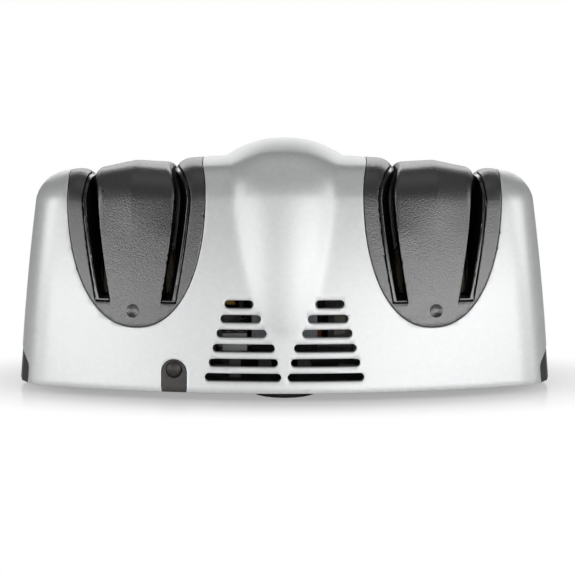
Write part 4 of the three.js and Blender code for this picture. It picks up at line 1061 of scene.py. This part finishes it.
# Commutator: a ring of copper bars with mica between them, turned true together, so the
# lines run round it. The mica shows as dark slits.
BARS = 24
MICA_SHARE = 0.14
bars = surface("commutator_copper", "#b06f47", "#cf9a72", grain=0.5, rough=(0.24, 0.36),
               bump=0.01, metallic=1.0, stretch=(3, 0.3, 0.3))
shader = bars.node_tree.nodes["Principled BSDF"]
spot = add_node(bars, "ShaderNodeTexCoord")
parts = add_node(bars, "ShaderNodeSeparateXYZ", {"Vector": spot.outputs["Object"]})
over = add_node(bars, "ShaderNodeMath", {0: parts.outputs["Z"], 1: SHAFT_HEIGHT * MM},
                operation="SUBTRACT")
turn = add_node(bars, "ShaderNodeMath", {0: parts.outputs["Y"], 1: over.outputs[0]},
                operation="ARCTAN2")
count = add_node(bars, "ShaderNodeMath", {0: turn.outputs[0], 1: BARS / (2 * math.pi)},
                 operation="MULTIPLY")
share = add_node(bars, "ShaderNodeMath", {0: count.outputs[0]}, operation="FRACT")
slit = add_node(bars, "ShaderNodeMath", {0: share.outputs[0], 1: MICA_SHARE},
                operation="LESS_THAN")
copper = shader.inputs["Base Color"].links[0].from_socket
split = add_node(bars, "ShaderNodeMix", {0: slit.outputs[0], 6: copper, 7: linear("#2b2824")},
                 data_type="RGBA")
bars.node_tree.links.new(split.outputs[2], shader.inputs["Base Color"])
dress(bars, "commutator")

# Fan: an injection-moulded nylon wheel, pressed on the shaft. Nylon is off-white, a
# little translucent and waxy.
nylon = surface("natural_nylon", "#cbc7bb", "#dedbd2", grain=3.0, rough=(0.38, 0.5))
dress(nylon, "cooling_fan")


# Shaft, retaining rings and springs: ground or drawn steel, with fine lines that run
# round the shaft.
def four(kind):
    """The names of four like pieces, two in each module."""
    return ["%s_%s_%s" % (kind, side, place) for side in ("left", "right")
            for place in ("outer", "inner")]


ground_steel = surface("ground_steel", "#8b8d91", "#b9bcc0", grain=0.4, rough=(0.2, 0.32),
                       bump=0.008, metallic=1.0, stretch=(3, 0.2, 0.2))
dress(ground_steel, "drive_shaft", "disc_spring_left", "disc_spring_right",
      *four("retaining_ring"))

# Bushes: sintered bronze, pressed from powder and soaked in oil, so the surface is full
# of fine open pores.
sintered_bronze = surface("sintered_bronze", "#6a4e2c", "#a98553", grain=0.35,
                          rough=(0.34, 0.55), bump=0.04, metallic=0.9)
dress(sintered_bronze, *four("bush"))

# Abrasive discs: fine grit bonded on a steel cone. The grit is drawn at 0.4 mm, coarser
# than the real 0.1 mm, so that it still shows at arm's length.
bonded_grit = surface("bonded_abrasive_grit", "#5d564b", "#b3a893", grain=0.4,
                      rough=(0.75, 0.95), bump=0.14)
dress(bonded_grit, *four("disc"))

# Switch and rocker: gloss black ABS like the liners, snapped into the face that the
# user stands at. The terminal block is grey thermoset, with a mineral filler's speckle.
dress(polished_abs, "switch_body", "power_rocker")
filled_resin = surface("filled_grey_thermoset", "#6c6d6e", "#8f9091", grain=0.5,
                       rough=(0.48, 0.62))
dress(filled_resin, "terminal_block")
